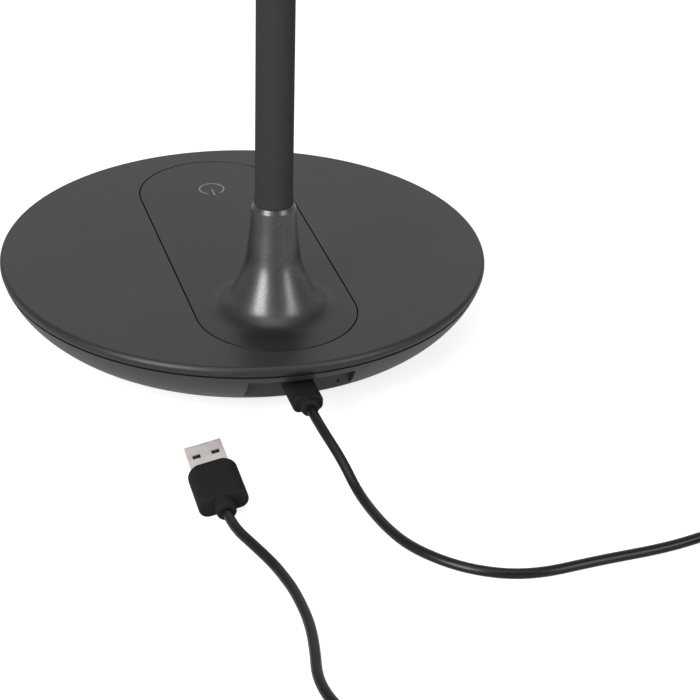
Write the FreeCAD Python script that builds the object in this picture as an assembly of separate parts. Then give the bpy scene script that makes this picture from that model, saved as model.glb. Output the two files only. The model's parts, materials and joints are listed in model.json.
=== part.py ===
import FreeCAD, Part
import math
import os

# A cordless LED desk lamp: a round base with a ballast ring, a battery and a touch switch, a sleeved
# gooseneck on a trumpet pedestal, a slim light head, and the USB cable that charges it. Millimetres,
# +Z up, with the origin on the desk under the base's centre. The switch end is -Y, the stem and the
# charging socket are at +Y.

V = FreeCAD.Vector
UP = V(0, 0, 1)
X_AXIS = V(1, 0, 0)
Y_AXIS = V(0, 1, 0)
FULL_TURN = 360.0

# Fits and general sizes
fit_gap = 0.15
free_gap = 0.3
touch_gap = 0.05
overrun = 1.0

# Base cover
base_d = 170.0
base_h = 26.5
cover_t = 2.4
cover_edge_h = 3.7
cover_edge_round = 1.35
cover_skirt_w = 2.2
seam_gap = 0.45

# Outline of the cover's edge, from its flat top down to the seam: out as a share of the edge's
# rounding, down as a share of the edge's height
edge_out_shares = [0.0, 0.32, 0.62, 0.86, 1.0, 0.96, 0.75, 0.4]
edge_down_shares = [0.0, 0.03, 0.11, 0.23, 0.4, 0.6, 0.8, 1.0]

# Lower shell
shell_wall = 2.2
foot_rise = 0.8
bowl_rim_tuck = 0.7
bowl_side_w = 39.5
bowl_centre_rise = 4.7
bowl_steps = 8
lip_t = 1.5
post_d = 9.0
post_split_z = 14.0
screw_ring_r = 47.5
base_screw_count = 4

# Foot pad
pad_reach = 6.0
pad_t = 1.6

# Screws
screw_r = 1.5
screw_head_r = 2.8
screw_head_h = 1.9
base_screw_seat_z = 5.0
base_screw_length = 17.0
small_screw_r = 1.1
small_head_r = 2.0
small_head_h = 1.2
small_screw_length = 5.0

# Ballast ring
ballast_reach = 14.5
ballast_t = 5.5
ballast_gap = 0.9
ballast_z = 5.2
ballast_screw_angles = [0.0, 180.0, 270.0]
ballast_screw_length = 6.0

# Control panel and pedestal
panel_w = 54.0
panel_margin = 10.8
panel_t = 2.0
panel_groove = 0.35
ledge_w = 3.2
ledge_t = 2.2
ledge_boss_w = 2.4
stem_inset = 31.9
pedestal_h = 37.9
pedestal_top_r = 6.6
pedestal_rim_r = 7.4
pedestal_rim_h = 1.6
pedestal_foot_r = 23.5
pedestal_wall = 2.0
pedestal_boss_wall = 2.0

# Outline of the trumpet from its rim down to the panel: height as a share of the height under the rim,
# and radius as a share of the way from the rim's radius out to the foot's
trumpet_height_shares = [1.0, 0.804, 0.617, 0.485, 0.375, 0.2755, 0.1708, 0.1074, 0.0647, 0.0303, 0.0116,
                         0.0028, 0.0]
trumpet_out_shares = [0.0, 0.031, 0.0795, 0.118, 0.187, 0.28, 0.394, 0.4845, 0.571, 0.671, 0.77, 0.876, 1.0]

# Power symbol
symbol_inset = 23.9
symbol_r = 4.5
symbol_line = 0.55
symbol_depth = 0.6
symbol_gap_half_angle = 29.0
symbol_bar_l = 5.2
symbol_bar_start = 0.3

# Stem fixing
ferrule_r = 5.6
ferrule_wall = 1.25
ferrule_below = 6.2
ferrule_seat = 24.0
nut_flats = 17.0
nut_h = 4.6
bracket_l = 53.0
bracket_w = 38.0
bracket_t = 2.0
bracket_screw_x = 17.0
bracket_screw_y = 15.0
panel_boss_r = 3.4
bracket_screw_length = 3.6

# Port recess in the back of the bowl
port_inset = 10.6
port_w = 35.8
port_low_z = 9.0
port_high_z = 20.1
port_plate_t = 1.2
port_wall = 1.2
port_z = 14.4
light_x = -14.1
light_z = 12.9
light_pipe_r = 0.5

# Main board
board_w = 34.0
board_l = 42.0
board_back_gap = 5.9
board_t = 1.6
board_top_z = 12.8
board_hole_r = 5.0
board_post_r = 2.5
board_front_post_x = 12.0
board_front_post_inset = 4.3
board_back_post_x = 13.5
board_back_post_inset = 4.5
chip_size = 7.0
chip_h = 1.0
chip_x = -12.0
chip_inset = 20.5
choke_r = 3.2
choke_h = 3.0
choke_x = 12.5
choke_inset = 27.5
connector_l = 6.0
connector_w = 4.0
connector_h = 3.0
battery_connector_x = 14.0
battery_connector_inset = 11.5
touch_connector_inset = 3.8

# USB socket on the board, and its plug
socket_w = 7.8
socket_h = 2.75
socket_t = 0.35
socket_l = 6.7
socket_back = 0.4
socket_tongue_t = 0.5
plug_w = 6.85
plug_h = 1.8
plug_l = 6.2
plug_t = 0.25
plug_lead_gap = 0.3
plug_body_w = 10.1
plug_body_h = 5.8
plug_body_l = 14.3
plug_body_round = 2.2
bead_r = 3.0
bead_l = 3.2

# Charge light
charge_led_w = 1.6
charge_led_l = 1.2
charge_led_h = 1.1

# Touch board
touch_r = 9.0
touch_t = 0.8
touch_drop = 0.75
ribbon_w = 5.0
ribbon_t = 0.3
ribbon_reach = 6.0
ribbon_clear = 2.5

# Battery
cell_r = 9.2
cell_l = 65.0
cell_z = 13.0
cradle_w = 21.6
cradle_top_z = 11.5
cradle_end_t = 1.6
contact_t = 0.4
contact_w = 12.0
contact_h = 12.0
wire_r = 0.65
wire_lift = 0.8
wire_pitch = 1.6
wire_split_share = 1 / 3

# Gooseneck
neck_r = 6.3
neck_flare_r = 6.55
neck_flare_h = 5.0
sleeve_bore_r = 4.5
core_r = 4.3
core_bore_r = 2.3
cup_gap = 0.15
neck_straight = 203.6
neck_bend_r = 72.0
neck_reach = 6.0
joint_count = 6
joint_first = 28.0
joint_pitch = 50.0
lamp_wire_r = 0.7
lamp_wire_offset = 1.0
lamp_wire_end = 14.0

# Head
head_w = 44.0
head_l = 152.0
head_drop = 9.8
head_crown = 8.8
head_edge_h = 12.6
head_wall = 1.8
head_top_round = 1.6
head_start = 12.5
collar_r = 7.4
collar_rim_h = 1.6
collar_inset = 1.5
head_ferrule_in = 10.0
head_boss_r = 6.6
head_boss_l = 13.0
bezel_t = 1.2
bezel_w = 1.8
diffuser_t = 1.6
led_board_t = 1.2
led_board_z = 8.4
led_board_start = 20.0
led_rows = 2
led_count = 15
led_row_gap = 16.0
led_w = 2.8
led_l = 3.5
led_h = 0.7
head_screw_x = 13.0
head_screw_count = 2
head_post_r = 2.6

# USB-A plug, as it lies on the desk
usb_w = 12.0
usb_h = 4.5
usb_t = 0.3
usb_l = 12.3
usb_tongue_t = 1.9
usb_window_w = 2.6
usb_window_l = 2.3
usb_window_x = 3.1
usb_window_y = 5.4
usb_contact_count = 4
usb_contact_w = 1.0
usb_contact_l = 7.0
usb_contact_t = 0.2
usb_contact_pitch = 2.2
grip_w = 15.9
grip_h = 6.6
grip_l = 20.1
grip_round = 3.0
grip_neck_r = 3.2
grip_neck_l = 4.8
grip_lead = 7.5
usb_front_x = 35.2
usb_beyond = 17.4
usb_turn = -1.5
usb_roll = 12.0

# Cord
cord_d = 3.2
arc_share = 0.45
coil_pitch = 3.7
coil_layer_h = 3.7
coil_out_r = 22.4
coil_turns = 6.4
coil_climb_turns = 0.5
coil_x = -125.5
coil_beyond = 120.9
coil_lift = 0.9
coil_start_angle = -90.0
coil_lead = 16.0
coil_exit = 12.0
tie_t = 0.5
tie_gap = 0.35
tie_angle = 26.0
tie_middle_angle = 20.0

# Derived places
base_r = base_d / 2
bowl_flat_r = base_r - bowl_side_w
pad_r = bowl_flat_r + pad_reach
panel_l = base_d - 2 * panel_margin
stem_back = panel_l / 2 - stem_inset
symbol_back = symbol_inset - panel_l / 2
port_y = base_r - port_inset
board_back_y = port_y - board_back_gap
board_front_y = board_back_y - board_l
touch_connector_y = board_front_y + touch_connector_inset
battery_connector_y = board_front_y + battery_connector_inset
contact_x = cell_l / 2 + 2 * contact_t + fit_gap
cradle_half_l = contact_x + contact_t + cradle_end_t
ballast_in_r = math.hypot(cradle_half_l, cradle_w / 2) + ballast_gap
ballast_out_r = bowl_flat_r + ballast_reach
ballast_screw_ring_r = (ballast_in_r + ballast_out_r) / 2
usb_front_y = port_y + usb_beyond
coil_y = port_y + coil_beyond
cover_under_z = base_h - cover_t
rim_z = base_h - cover_edge_h - seam_gap
shell_floor_z = foot_rise + shell_wall
bowl_rim_r = base_r - bowl_rim_tuck
bowl_centre_z = base_h + bowl_centre_rise
panel_under_z = base_h - panel_t
bracket_top_z = panel_under_z - ledge_t
stem = V(0, stem_back, 0)
neck_start_z = base_h + pedestal_h + touch_gap
board_under_z = board_top_z - board_t
pad_top_z = pad_t
neck_arc_l = neck_bend_r * math.pi / 2
neck_l = neck_straight + neck_arc_l + neck_reach
head_axis_z = neck_start_z + neck_straight + neck_bend_r
neck_end_y = stem_back - neck_bend_r - neck_reach
head_low_z = head_axis_z - head_drop
cord_r = cord_d / 2
plug_front_y = port_y + plug_lead_gap
plug_back_y = plug_front_y + plug_body_l
grip_centre_z = ((grip_w / 2 - grip_round) * math.sin(math.radians(usb_roll))
                 + (grip_h / 2 - grip_round) * math.cos(math.radians(usb_roll)) + grip_round)


# Shapes that many pieces use

def cylinder(radius, low, high, x=0, y=0):
    """Upright cylinder between two heights."""
    return Part.makeCylinder(radius, high - low, V(x, y, low), UP)


def ring(outer, inner, low, high, x=0, y=0):
    """Upright tube between two heights."""
    return cylinder(outer, low, high, x, y).cut(cylinder(inner, low - overrun, high + overrun, x, y))


def block(x_low, x_high, y_low, y_high, z_low, z_high):
    """Box between two corners."""
    return Part.makeBox(x_high - x_low, y_high - y_low, z_high - z_low, V(x_low, y_low, z_low))


def stadium_wire(width, length, z, y=0):
    """Closed outline with round ends, long in Y."""
    r = width / 2
    half = length / 2 - r
    corners = [V(r, y - half, z), V(r, y + half, z), V(-r, y + half, z), V(-r, y - half, z)]
    edges = [
        Part.LineSegment(corners[0], corners[1]).toShape(),
        Part.Arc(corners[1], V(0, y + half + r, z), corners[2]).toShape(),
        Part.LineSegment(corners[2], corners[3]).toShape(),
        Part.Arc(corners[3], V(0, y - half - r, z), corners[0]).toShape(),
    ]
    return Part.Wire(edges)


def stadium(width, length, low, high, y=0):
    """Upright prism with round ends, long in Y."""
    return Part.Face(stadium_wire(width, length, low, y)).extrude(V(0, 0, high - low))


def polyline(points):
    """Straight edges through points."""
    return [Part.LineSegment(a, b).toShape() for a, b in zip(points, points[1:])]


def spline(points):
    """One smooth edge through points."""
    curve = Part.BSplineCurve()
    curve.interpolate(points)
    return curve.toShape()


def turned(edges, place=V(0, 0, 0), axis=UP, angle=FULL_TURN):
    """Solid that a closed outline sweeps round an axis."""
    face = Part.Face(Part.Wire(Part.__sortEdges__(edges)))
    return face.revolve(place, axis, angle)


def rounded_bar(width, height, length, radius):
    """Bar along +Y from the origin, with rounded long edges, centred on its axis."""
    half_w = width / 2 - radius
    half_h = height / 2 - radius
    bar = block(-half_w, half_w, 0, length, -height / 2, height / 2)
    bar = bar.fuse(block(-width / 2, width / 2, 0, length, -half_h, half_h))
    for x in (-half_w, half_w):
        for z in (-half_h, half_h):
            bar = bar.fuse(Part.makeCylinder(radius, length, V(x, 0, z), Y_AXIS))
    return bar.removeSplitter()


def screw(radius, head_r, head_h, length, seat, x, y, up):
    """Pan-head screw whose head bears at a height; its shank points up or down."""
    way = 1 if up else -1
    shank = Part.makeCylinder(radius, length, V(x, y, seat), UP * way)
    head = Part.makeCylinder(head_r, head_h, V(x, y, seat), UP * -way)
    slot = block(x - head_r - overrun, x + head_r + overrun, y - radius / 4, y + radius / 4,
                 seat - way * head_h - head_h / 3, seat - way * head_h + head_h / 3)
    return shank.fuse(head).cut(slot)


def ring_places(radius, angles):
    """Points on a circle round the base's axis."""
    return [(radius * math.cos(math.radians(a)), radius * math.sin(math.radians(a))) for a in angles]


def write(name, shape):
    """Check a node's solids and write them."""
    for solid in shape.Solids:
        if not solid.isValid():
            print("not valid:", name)
    shape.exportStep("parts/" + name + ".step")
    box = shape.BoundBox
    print("%-18s solids %2d  volume %10.1f  z %.2f to %.2f" % (name, len(shape.Solids), shape.Volume,
                                                             box.ZMin, box.ZMax))


# Base

def bowl_points(wall):
    """Points of the bowl's wall from its flat bottom up, set in by a wall's thickness."""
    b = bowl_centre_z - foot_rise
    rim_share = (bowl_centre_z - rim_z) / b
    a = (bowl_rim_r - bowl_flat_r) / math.sqrt(1 - rim_share ** 2)
    a = a - wall
    b = b - wall
    start = math.asin((bowl_centre_z - rim_z) / b)
    points = []
    for step in range(bowl_steps + 1):
        t = math.pi / 2 + (start - math.pi / 2) * step / bowl_steps
        points.append(V(bowl_flat_r + a * math.cos(t), 0, bowl_centre_z - b * math.sin(t)))
    return points


def bowl_solid():
    """The bowl's outside as a full solid, for trimming what is set in it."""
    points = bowl_points(0)
    top = V(0, 0, rim_z)
    low = V(0, 0, foot_rise)
    edges = [spline(points)] + polyline([points[-1], top, low, points[0]])
    return turned(edges)


def bowl_hollow():
    """The bowl's inside as a full solid, up to the seam."""
    points = bowl_points(shell_wall)
    skirt_r = bowl_rim_r - cover_skirt_w - free_gap - lip_t
    rest = [points[-1], V(0, 0, points[-1].z), V(0, 0, shell_floor_z), points[0]]
    edges = [spline(points)] + polyline(rest)
    return turned(edges).common(cylinder(skirt_r, 0, base_h))


def top_cover():
    """Thin disc with a rounded edge, a stadium opening and a ledge under it for the panel."""
    flat_r = base_r - cover_edge_round
    points = []
    for out_share, down_share in zip(edge_out_shares, edge_down_shares):
        points.append(V(flat_r + cover_edge_round * out_share, 0, base_h - cover_edge_h * down_share))
    skirt_r = bowl_rim_r - cover_skirt_w
    seam_z = base_h - cover_edge_h
    rest = [points[-1], V(skirt_r, 0, seam_z), V(skirt_r, 0, cover_under_z), V(0, 0, cover_under_z),
            V(0, 0, base_h), points[0]]
    cover = turned([spline(points)] + polyline(rest))
    open_w = panel_w + 2 * panel_groove
    open_l = panel_l + 2 * panel_groove
    cover = cover.fuse(stadium(open_w + 2 * ledge_boss_w, open_l + 2 * ledge_boss_w, bracket_top_z,
                               cover_under_z))
    cover = cover.cut(stadium(open_w, open_l, panel_under_z, base_h + overrun))
    cover = cover.cut(stadium(panel_w - 2 * ledge_w, panel_l - 2 * ledge_w, bracket_top_z - overrun,
                              base_h + overrun))
    for x, y in ring_places(screw_ring_r, base_screw_angles()):
        boss = cylinder(post_d / 2 - fit_gap, post_split_z + touch_gap, cover_under_z, x, y)
        cover = cover.fuse(boss)
        cover = cover.cut(cylinder(screw_r + touch_gap, post_split_z - overrun,
                                   base_screw_seat_z + base_screw_length + free_gap, x, y))
    return cover.removeSplitter()


def base_screw_angles():
    """Even angles that start half a step from +X."""
    step = FULL_TURN / base_screw_count
    return [step * (i + 1 / 2) for i in range(base_screw_count)]


def port_pocket(y_low, grow=0):
    """Space of the port recess, from a depth out past the bowl."""
    half = port_w / 2 + grow
    return block(-half, half, y_low, base_r, port_low_z - grow, port_high_z + grow)


def lower_shell():
    """Bowl with its lip, posts, port pocket and pad recess."""
    outside = bowl_solid()
    shell = outside.cut(bowl_hollow())
    lip_out_r = bowl_rim_r - cover_skirt_w - free_gap
    shell = shell.fuse(ring(lip_out_r, lip_out_r - lip_t, rim_z, cover_under_z - free_gap))
    pocket_back = port_y - port_plate_t - port_wall
    shell = shell.fuse(port_pocket(pocket_back, port_wall).common(outside))
    for x, y in ring_places(screw_ring_r, base_screw_angles()):
        shell = shell.fuse(cylinder(post_d / 2, pad_top_z + touch_gap, post_split_z, x, y).common(outside))
    for x, y in ring_places(ballast_screw_ring_r, ballast_screw_angles):
        shell = shell.fuse(cylinder(post_d / 2, pad_top_z + touch_gap, ballast_z, x, y).common(outside))
    for x, y in board_posts():
        post = cylinder(board_post_r, pad_top_z + touch_gap, board_under_z, x, y)
        shell = shell.fuse(post.common(outside))
    shell = shell.cut(port_pocket(port_y - port_plate_t))
    shell = shell.cut(port_window())
    shell = shell.cut(light_bore())
    shell = shell.cut(cylinder(pad_r + fit_gap, 0, pad_top_z + touch_gap))
    for x, y in ring_places(screw_ring_r, base_screw_angles()):
        shell = shell.cut(cylinder(screw_head_r + free_gap, 0, base_screw_seat_z, x, y))
        shell = shell.cut(cylinder(screw_r + fit_gap, 0, post_split_z + overrun, x, y))
    for x, y in ring_places(ballast_screw_ring_r, ballast_screw_angles):
        tip_z = ballast_z + ballast_t - ballast_screw_length - ballast_t / 2
        shell = shell.cut(cylinder(screw_r + touch_gap, tip_z, ballast_z + overrun, x, y))
    for x, y in board_posts():
        tip_z = board_top_z - small_screw_length - free_gap
        shell = shell.cut(cylinder(small_screw_r + touch_gap, tip_z, board_top_z, x, y))
    return shell.removeSplitter()


def board_posts():
    """Places of the main board's four posts."""
    return [
        (board_front_post_x, board_front_y + board_front_post_inset),
        (-board_front_post_x, board_front_y + board_front_post_inset),
        (board_back_post_x, board_back_y - board_back_post_inset),
        (-board_back_post_x, board_back_y - board_back_post_inset),
    ]


def port_window():
    """Opening for the socket's mouth through the pocket's back wall and the plate."""
    half_w = socket_w / 2 + fit_gap
    half_h = socket_h / 2 + fit_gap
    back = port_y - port_plate_t - port_wall - overrun
    return block(-half_w, half_w, back, port_y + overrun, port_z - half_h, port_z + half_h)


def light_bore():
    """Bore for the light pipe through the pocket's back wall and the plate."""
    back = port_y - port_plate_t - port_wall - overrun
    length = port_y + overrun - back
    return Part.makeCylinder(light_pipe_r + touch_gap, length, V(light_x, back, light_z), Y_AXIS)


def port_plate():
    """Flat plate at the back of the recess, trimmed where it meets the bowl."""
    half = port_w / 2 - touch_gap
    plate = block(-half, half, port_y - port_plate_t + touch_gap, port_y, port_low_z + touch_gap,
                  port_high_z - touch_gap)
    plate = plate.common(bowl_solid())
    return plate.cut(port_window()).cut(light_bore())


def base_screws():
    """Screws that hold the shell to the cover, from below."""
    places = ring_places(screw_ring_r, base_screw_angles())
    solids = [screw(screw_r, screw_head_r, screw_head_h, base_screw_length, base_screw_seat_z, x, y, True)
              for x, y in places]
    return Part.makeCompound(solids)


def ballast_ring():
    """Steel ring that keeps the base down."""
    top = ballast_z + ballast_t
    shape = ring(ballast_out_r, ballast_in_r, ballast_z, top)
    for x, y in ring_places(screw_ring_r, base_screw_angles()):
        shape = shape.cut(cylinder(post_d / 2 + free_gap, ballast_z - overrun, top + overrun, x, y))
    for x, y in ring_places(ballast_screw_ring_r, ballast_screw_angles):
        shape = shape.cut(cylinder(screw_r + fit_gap, ballast_z - overrun, top + overrun, x, y))
    return shape


def ballast_screws():
    """Screws that hold the ballast to its bosses, from above."""
    top = ballast_z + ballast_t
    length = ballast_screw_length + ballast_t / 2
    return Part.makeCompound([
        screw(screw_r, screw_head_r, screw_head_h, length - free_gap, top, x, y, False)
        for x, y in ring_places(ballast_screw_ring_r, ballast_screw_angles)])


# Control panel and stem fixing

def trumpet_points(wall):
    """Points of the trumpet's side from its rim down, set in by a wall's thickness."""
    points = []
    for height_share, out_share in zip(trumpet_height_shares, trumpet_out_shares):
        r = pedestal_rim_r + (pedestal_foot_r - pedestal_rim_r) * out_share
        points.append(V(r - wall, 0, base_h + (pedestal_h - pedestal_rim_h) * height_share))
    return points


def trumpet():
    """Pedestal's outside as a full solid on the stem's axis."""
    points = trumpet_points(0)
    top_z = base_h + pedestal_h
    low = panel_under_z + panel_t / 2
    rim = [V(0, 0, low), V(0, 0, top_z), V(pedestal_top_r, 0, top_z), points[0]]
    foot = [points[-1], V(pedestal_foot_r, 0, low), V(0, 0, low)]
    solid = turned(polyline(rim) + [spline(points)] + polyline(foot))
    solid.translate(stem)
    return solid


def trumpet_hollow():
    """Space between the pedestal's skin and its middle boss, open below."""
    skin = pedestal_wall
    boss = ferrule_r + fit_gap + pedestal_boss_wall
    points = [p - V(0, 0, skin) for p in trumpet_points(skin)
              if p.x > boss + skin / 2 and p.z > base_h + skin / 4]
    low = panel_under_z - overrun
    ends = [points[-1], V(points[-1].x, 0, low), V(boss, 0, low), V(boss, 0, points[0].z), points[0]]
    solid = turned([spline(points)] + polyline(ends))
    solid.translate(stem)
    return solid


def control_panel():
    """Stadium panel and trumpet pedestal, moulded in one, with the bosses under them."""
    panel = stadium(panel_w, panel_l, panel_under_z, base_h)
    panel = panel.fuse(trumpet()).cut(trumpet_hollow())
    boss_r = ferrule_r + fit_gap + pedestal_boss_wall
    panel = panel.fuse(cylinder(boss_r, bracket_top_z, panel_under_z, 0, stem_back))
    for x, y in bracket_places():
        panel = panel.fuse(cylinder(panel_boss_r, bracket_top_z, panel_under_z, x, y))
        tip_z = bracket_top_z - bracket_t + bracket_screw_length
        hole_r = small_screw_r + touch_gap
        panel = panel.cut(cylinder(hole_r, bracket_top_z - overrun, tip_z + free_gap, x, y))
    top_z = base_h + pedestal_h
    panel = panel.cut(cylinder(ferrule_r + touch_gap, bracket_top_z - overrun, top_z + overrun, 0, stem_back))
    return panel.cut(symbol_shape(symbol_depth + overrun)).removeSplitter()


def symbol_shape(depth):
    """On/off mark: a ring with a gap towards the stem, and a bar in the gap."""
    low = base_h - symbol_depth
    outer = symbol_r + symbol_line / 2
    mark = ring(outer, symbol_r - symbol_line / 2, low, low + depth, 0, symbol_back)
    reach = 2 * outer
    side = reach * math.tan(math.radians(symbol_gap_half_angle))
    gap_face = Part.Face(Part.Wire(polyline([V(0, symbol_back, low - overrun),
                                             V(side, symbol_back + reach, low - overrun),
                                             V(-side, symbol_back + reach, low - overrun),
                                             V(0, symbol_back, low - overrun)])))
    mark = mark.cut(gap_face.extrude(V(0, 0, depth + 2 * overrun)))
    bar = block(-symbol_line / 2, symbol_line / 2, symbol_back + symbol_bar_start,
                symbol_back + symbol_bar_start + symbol_bar_l, low, low + depth)
    return Part.makeCompound([mark, bar])


def power_symbol():
    """The lit mark, set flush in the panel."""
    return symbol_shape(symbol_depth)


def bracket_places():
    """Places of the bracket's four screws."""
    return [(x, stem_back + y) for x in (-bracket_screw_x, bracket_screw_x)
            for y in (-bracket_screw_y, bracket_screw_y)]


def stem_bracket():
    """Steel plate that clamps the panel to the cover's ledge and spreads the stem's load."""
    plate = block(-bracket_l / 2, bracket_l / 2, stem_back - bracket_w / 2, stem_back + bracket_w / 2,
                  bracket_top_z - bracket_t, bracket_top_z)
    low = bracket_top_z - bracket_t - overrun
    plate = plate.cut(cylinder(ferrule_r + fit_gap, low, bracket_top_z + overrun, 0, stem_back))
    for x, y in bracket_places():
        plate = plate.cut(cylinder(small_screw_r + fit_gap, low, bracket_top_z + overrun, x, y))
    return plate


def bracket_screws():
    """Screws from the bracket up into the panel's bosses."""
    seat = bracket_top_z - bracket_t
    return Part.makeCompound([
        screw(small_screw_r, small_head_r, small_head_h, bracket_screw_length, seat, x, y, True)
        for x, y in bracket_places()])


def stem_ferrule():
    """Threaded steel tube that carries the gooseneck; a shoulder inside stops the core."""
    low = bracket_top_z - bracket_t - ferrule_below
    top = base_h + pedestal_h - free_gap
    bore_r = ferrule_r - ferrule_wall
    tube = ring(ferrule_r, bore_r - pedestal_boss_wall / 2, low, top, 0, stem_back)
    return tube.cut(cylinder(bore_r, top - ferrule_seat, top + overrun, 0, stem_back))


def ferrule_nut():
    """Hexagonal nut under the bracket."""
    corner_r = nut_flats / math.sqrt(3)
    top = bracket_top_z - bracket_t
    corners = []
    for i in range(7):
        angle = math.radians(FULL_TURN / 6 * i)
        corners.append(V(corner_r * math.cos(angle), stem_back + corner_r * math.sin(angle), top - nut_h))
    nut = Part.Face(Part.Wire(polyline(corners))).extrude(V(0, 0, nut_h))
    return nut.cut(cylinder(ferrule_r + touch_gap, top - nut_h - overrun, top + overrun, 0, stem_back))


# Electrics in the base

def main_board():
    """Charging and dimming board, with a hole for the wires from the stem."""
    half = board_w / 2
    board = block(-half, half, board_front_y, board_back_y, board_under_z, board_top_z)
    low = board_under_z - overrun
    high = board_top_z + overrun
    board = board.cut(cylinder(board_hole_r, low, high, 0, stem_back))
    for x, y in board_posts():
        board = board.cut(cylinder(small_screw_r + fit_gap, low, high, x, y))
    return board


def board_parts():
    """Controller, choke and two connectors on the board."""
    top = board_top_z
    half = chip_size / 2
    chip_y = board_front_y + chip_inset
    choke_y = board_front_y + choke_inset
    solids = [
        block(chip_x - half, chip_x + half, chip_y - half, chip_y + half, top, top + chip_h),
        cylinder(choke_r, top, top + choke_h, choke_x, choke_y),
    ]
    for x, y in ((battery_connector_x, battery_connector_y), (0, touch_connector_y)):
        solids.append(block(x - connector_w / 2, x + connector_w / 2, y - connector_l / 2,
                            y + connector_l / 2, top, top + connector_h))
    return Part.makeCompound(solids)


def board_screws():
    """Screws that hold the main board to its posts."""
    return Part.makeCompound([
        screw(small_screw_r, small_head_r, small_head_h, small_screw_length, board_top_z, x, y, False)
        for x, y in board_posts()])


def usb_socket_shell():
    """Folded metal shell of the charging socket, on two feet."""
    front = port_y - socket_back
    back = front - socket_l
    half_w = socket_w / 2
    half_h = socket_h / 2
    shell = block(-half_w, half_w, back, front, port_z - half_h, port_z + half_h)
    hollow = block(-half_w + socket_t, half_w - socket_t, back + socket_t, front + overrun,
                   port_z - half_h + socket_t, port_z + half_h - socket_t)
    shell = shell.cut(hollow)
    for side in (-1, 1):
        foot_x = side * (half_w - socket_t / 2)
        foot = block(foot_x - socket_t / 2, foot_x + socket_t / 2, back, board_back_y - socket_t,
                     board_top_z, port_z - half_h)
        shell = shell.fuse(foot)
    return shell


def usb_socket_tongue():
    """Insulating tongue inside the socket."""
    front = port_y - socket_back
    back = front - socket_l
    half_w = plug_w / 2 - plug_t - free_gap
    top = port_z + socket_tongue_t / 2
    tongue = block(-half_w, half_w, back + socket_t + socket_tongue_t, front - socket_t, port_z
                   - socket_tongue_t / 2, top)
    half_wide = socket_w / 2 - socket_t - touch_gap
    half_high = socket_h / 2 - socket_t - touch_gap
    root = block(-half_wide, half_wide, back + socket_t, back + socket_t + socket_tongue_t,
                 port_z - half_high, port_z + half_high)
    return tongue.fuse(root)


def charge_light():
    """Small side-firing LED behind the light pipe."""
    x_low = light_x - charge_led_w / 2
    back = board_back_y - free_gap
    return block(x_low, x_low + charge_led_w, back - charge_led_l, back, board_top_z,
                 board_top_z + charge_led_h)


def light_pipe():
    """Clear rod from the LED to the plate's face."""
    start = board_back_y + touch_gap
    return Part.makeCylinder(light_pipe_r, port_y - start, V(light_x, start, light_z), Y_AXIS)


def touch_board():
    """Round sensor board under the symbol, with the LED that lights it."""
    top = panel_under_z - touch_drop
    board = cylinder(touch_r, top - touch_t, top, 0, symbol_back)
    led = block(-led_w / 2, led_w / 2, symbol_back - led_w / 2, symbol_back + led_w / 2, top,
                panel_under_z - touch_gap)
    spacer = ring(touch_r, touch_r - ledge_boss_w, top, panel_under_z, 0, symbol_back)
    return board.fuse(led).fuse(spacer)


def touch_cable():
    """Flat ribbon from the touch board to its connector."""
    high = panel_under_z - touch_drop - touch_t
    low = high - ribbon_t
    start = symbol_back + touch_r - ribbon_reach
    end_z = board_top_z + connector_h / 2
    end_y = touch_connector_y - connector_l / 2
    bend_y = stem_back - bracket_w / 2 - ribbon_clear
    outline = [V(0, start, high), V(0, bend_y, high), V(0, end_y - ribbon_t, end_z + ribbon_t),
               V(0, end_y, end_z + ribbon_t), V(0, end_y, end_z), V(0, end_y - 2 * ribbon_t, end_z),
               V(0, bend_y - ribbon_t, low), V(0, start, low), V(0, start, high)]
    face = Part.Face(Part.Wire(polyline(outline)))
    face.translate(V(-ribbon_w / 2, 0, 0))
    return face.extrude(V(ribbon_w, 0, 0))


def battery_cell():
    """Cylindrical cell with its raised pole."""
    cell = Part.makeCylinder(cell_r, cell_l, V(-cell_l / 2, 0, cell_z), X_AXIS)
    pole = Part.makeCylinder(cell_r / 3, contact_t, V(cell_l / 2, 0, cell_z), X_AXIS)
    return cell.fuse(pole)


def battery_cradle():
    """Trough that holds the cell and its contacts."""
    body = block(-cradle_half_l, cradle_half_l, -cradle_w / 2, cradle_w / 2, shell_floor_z, cradle_top_z)
    cell_space = Part.makeCylinder(cell_r + fit_gap, 2 * contact_x, V(-contact_x, 0, cell_z), X_AXIS)
    body = body.cut(cell_space)
    for side in (-1, 1):
        x = side * (contact_x + contact_t / 2)
        half = contact_t / 2 + touch_gap
        body = body.cut(block(x - half, x + half, -contact_w / 2 - touch_gap, contact_w / 2 + touch_gap,
                              cell_z - contact_h / 2 - touch_gap, cradle_top_z + overrun))
    return body


def battery_contacts():
    """Spring plates at the cell's two poles."""
    solids = []
    for side in (-1, 1):
        x = side * (contact_x + contact_t / 2)
        solids.append(block(x - contact_t / 2, x + contact_t / 2, -contact_w / 2, contact_w / 2,
                            cell_z - contact_h / 2, cell_z + contact_h / 2))
    return Part.makeCompound(solids)


def battery_wires():
    """Two wires from the contacts round to the connector."""
    x = contact_x + contact_t + wire_r + touch_gap
    z = cell_z + contact_h / 3
    end = V(battery_connector_x, battery_connector_y - connector_l / 2 - touch_gap, board_top_z
            + connector_h / 2)
    wires = []
    level = end.z + wire_lift
    side_y = cell_r + wire_lift
    turn_y = side_y + (end.y - side_y) * wire_split_share
    for side, shift in ((1, 0), (-1, -wire_pitch)):
        path = [V(side * x, 0, z), V(side * x, side_y, z), V(side * x * 2 / 3, turn_y, level),
                V(end.x + shift, turn_y + wire_pitch * 2, level), V(end.x + shift, end.y, level)]
        wires.append(tube_along(path, 2 * wire_r)[0])
    return Part.makeCompound(wires)


# Gooseneck

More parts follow.
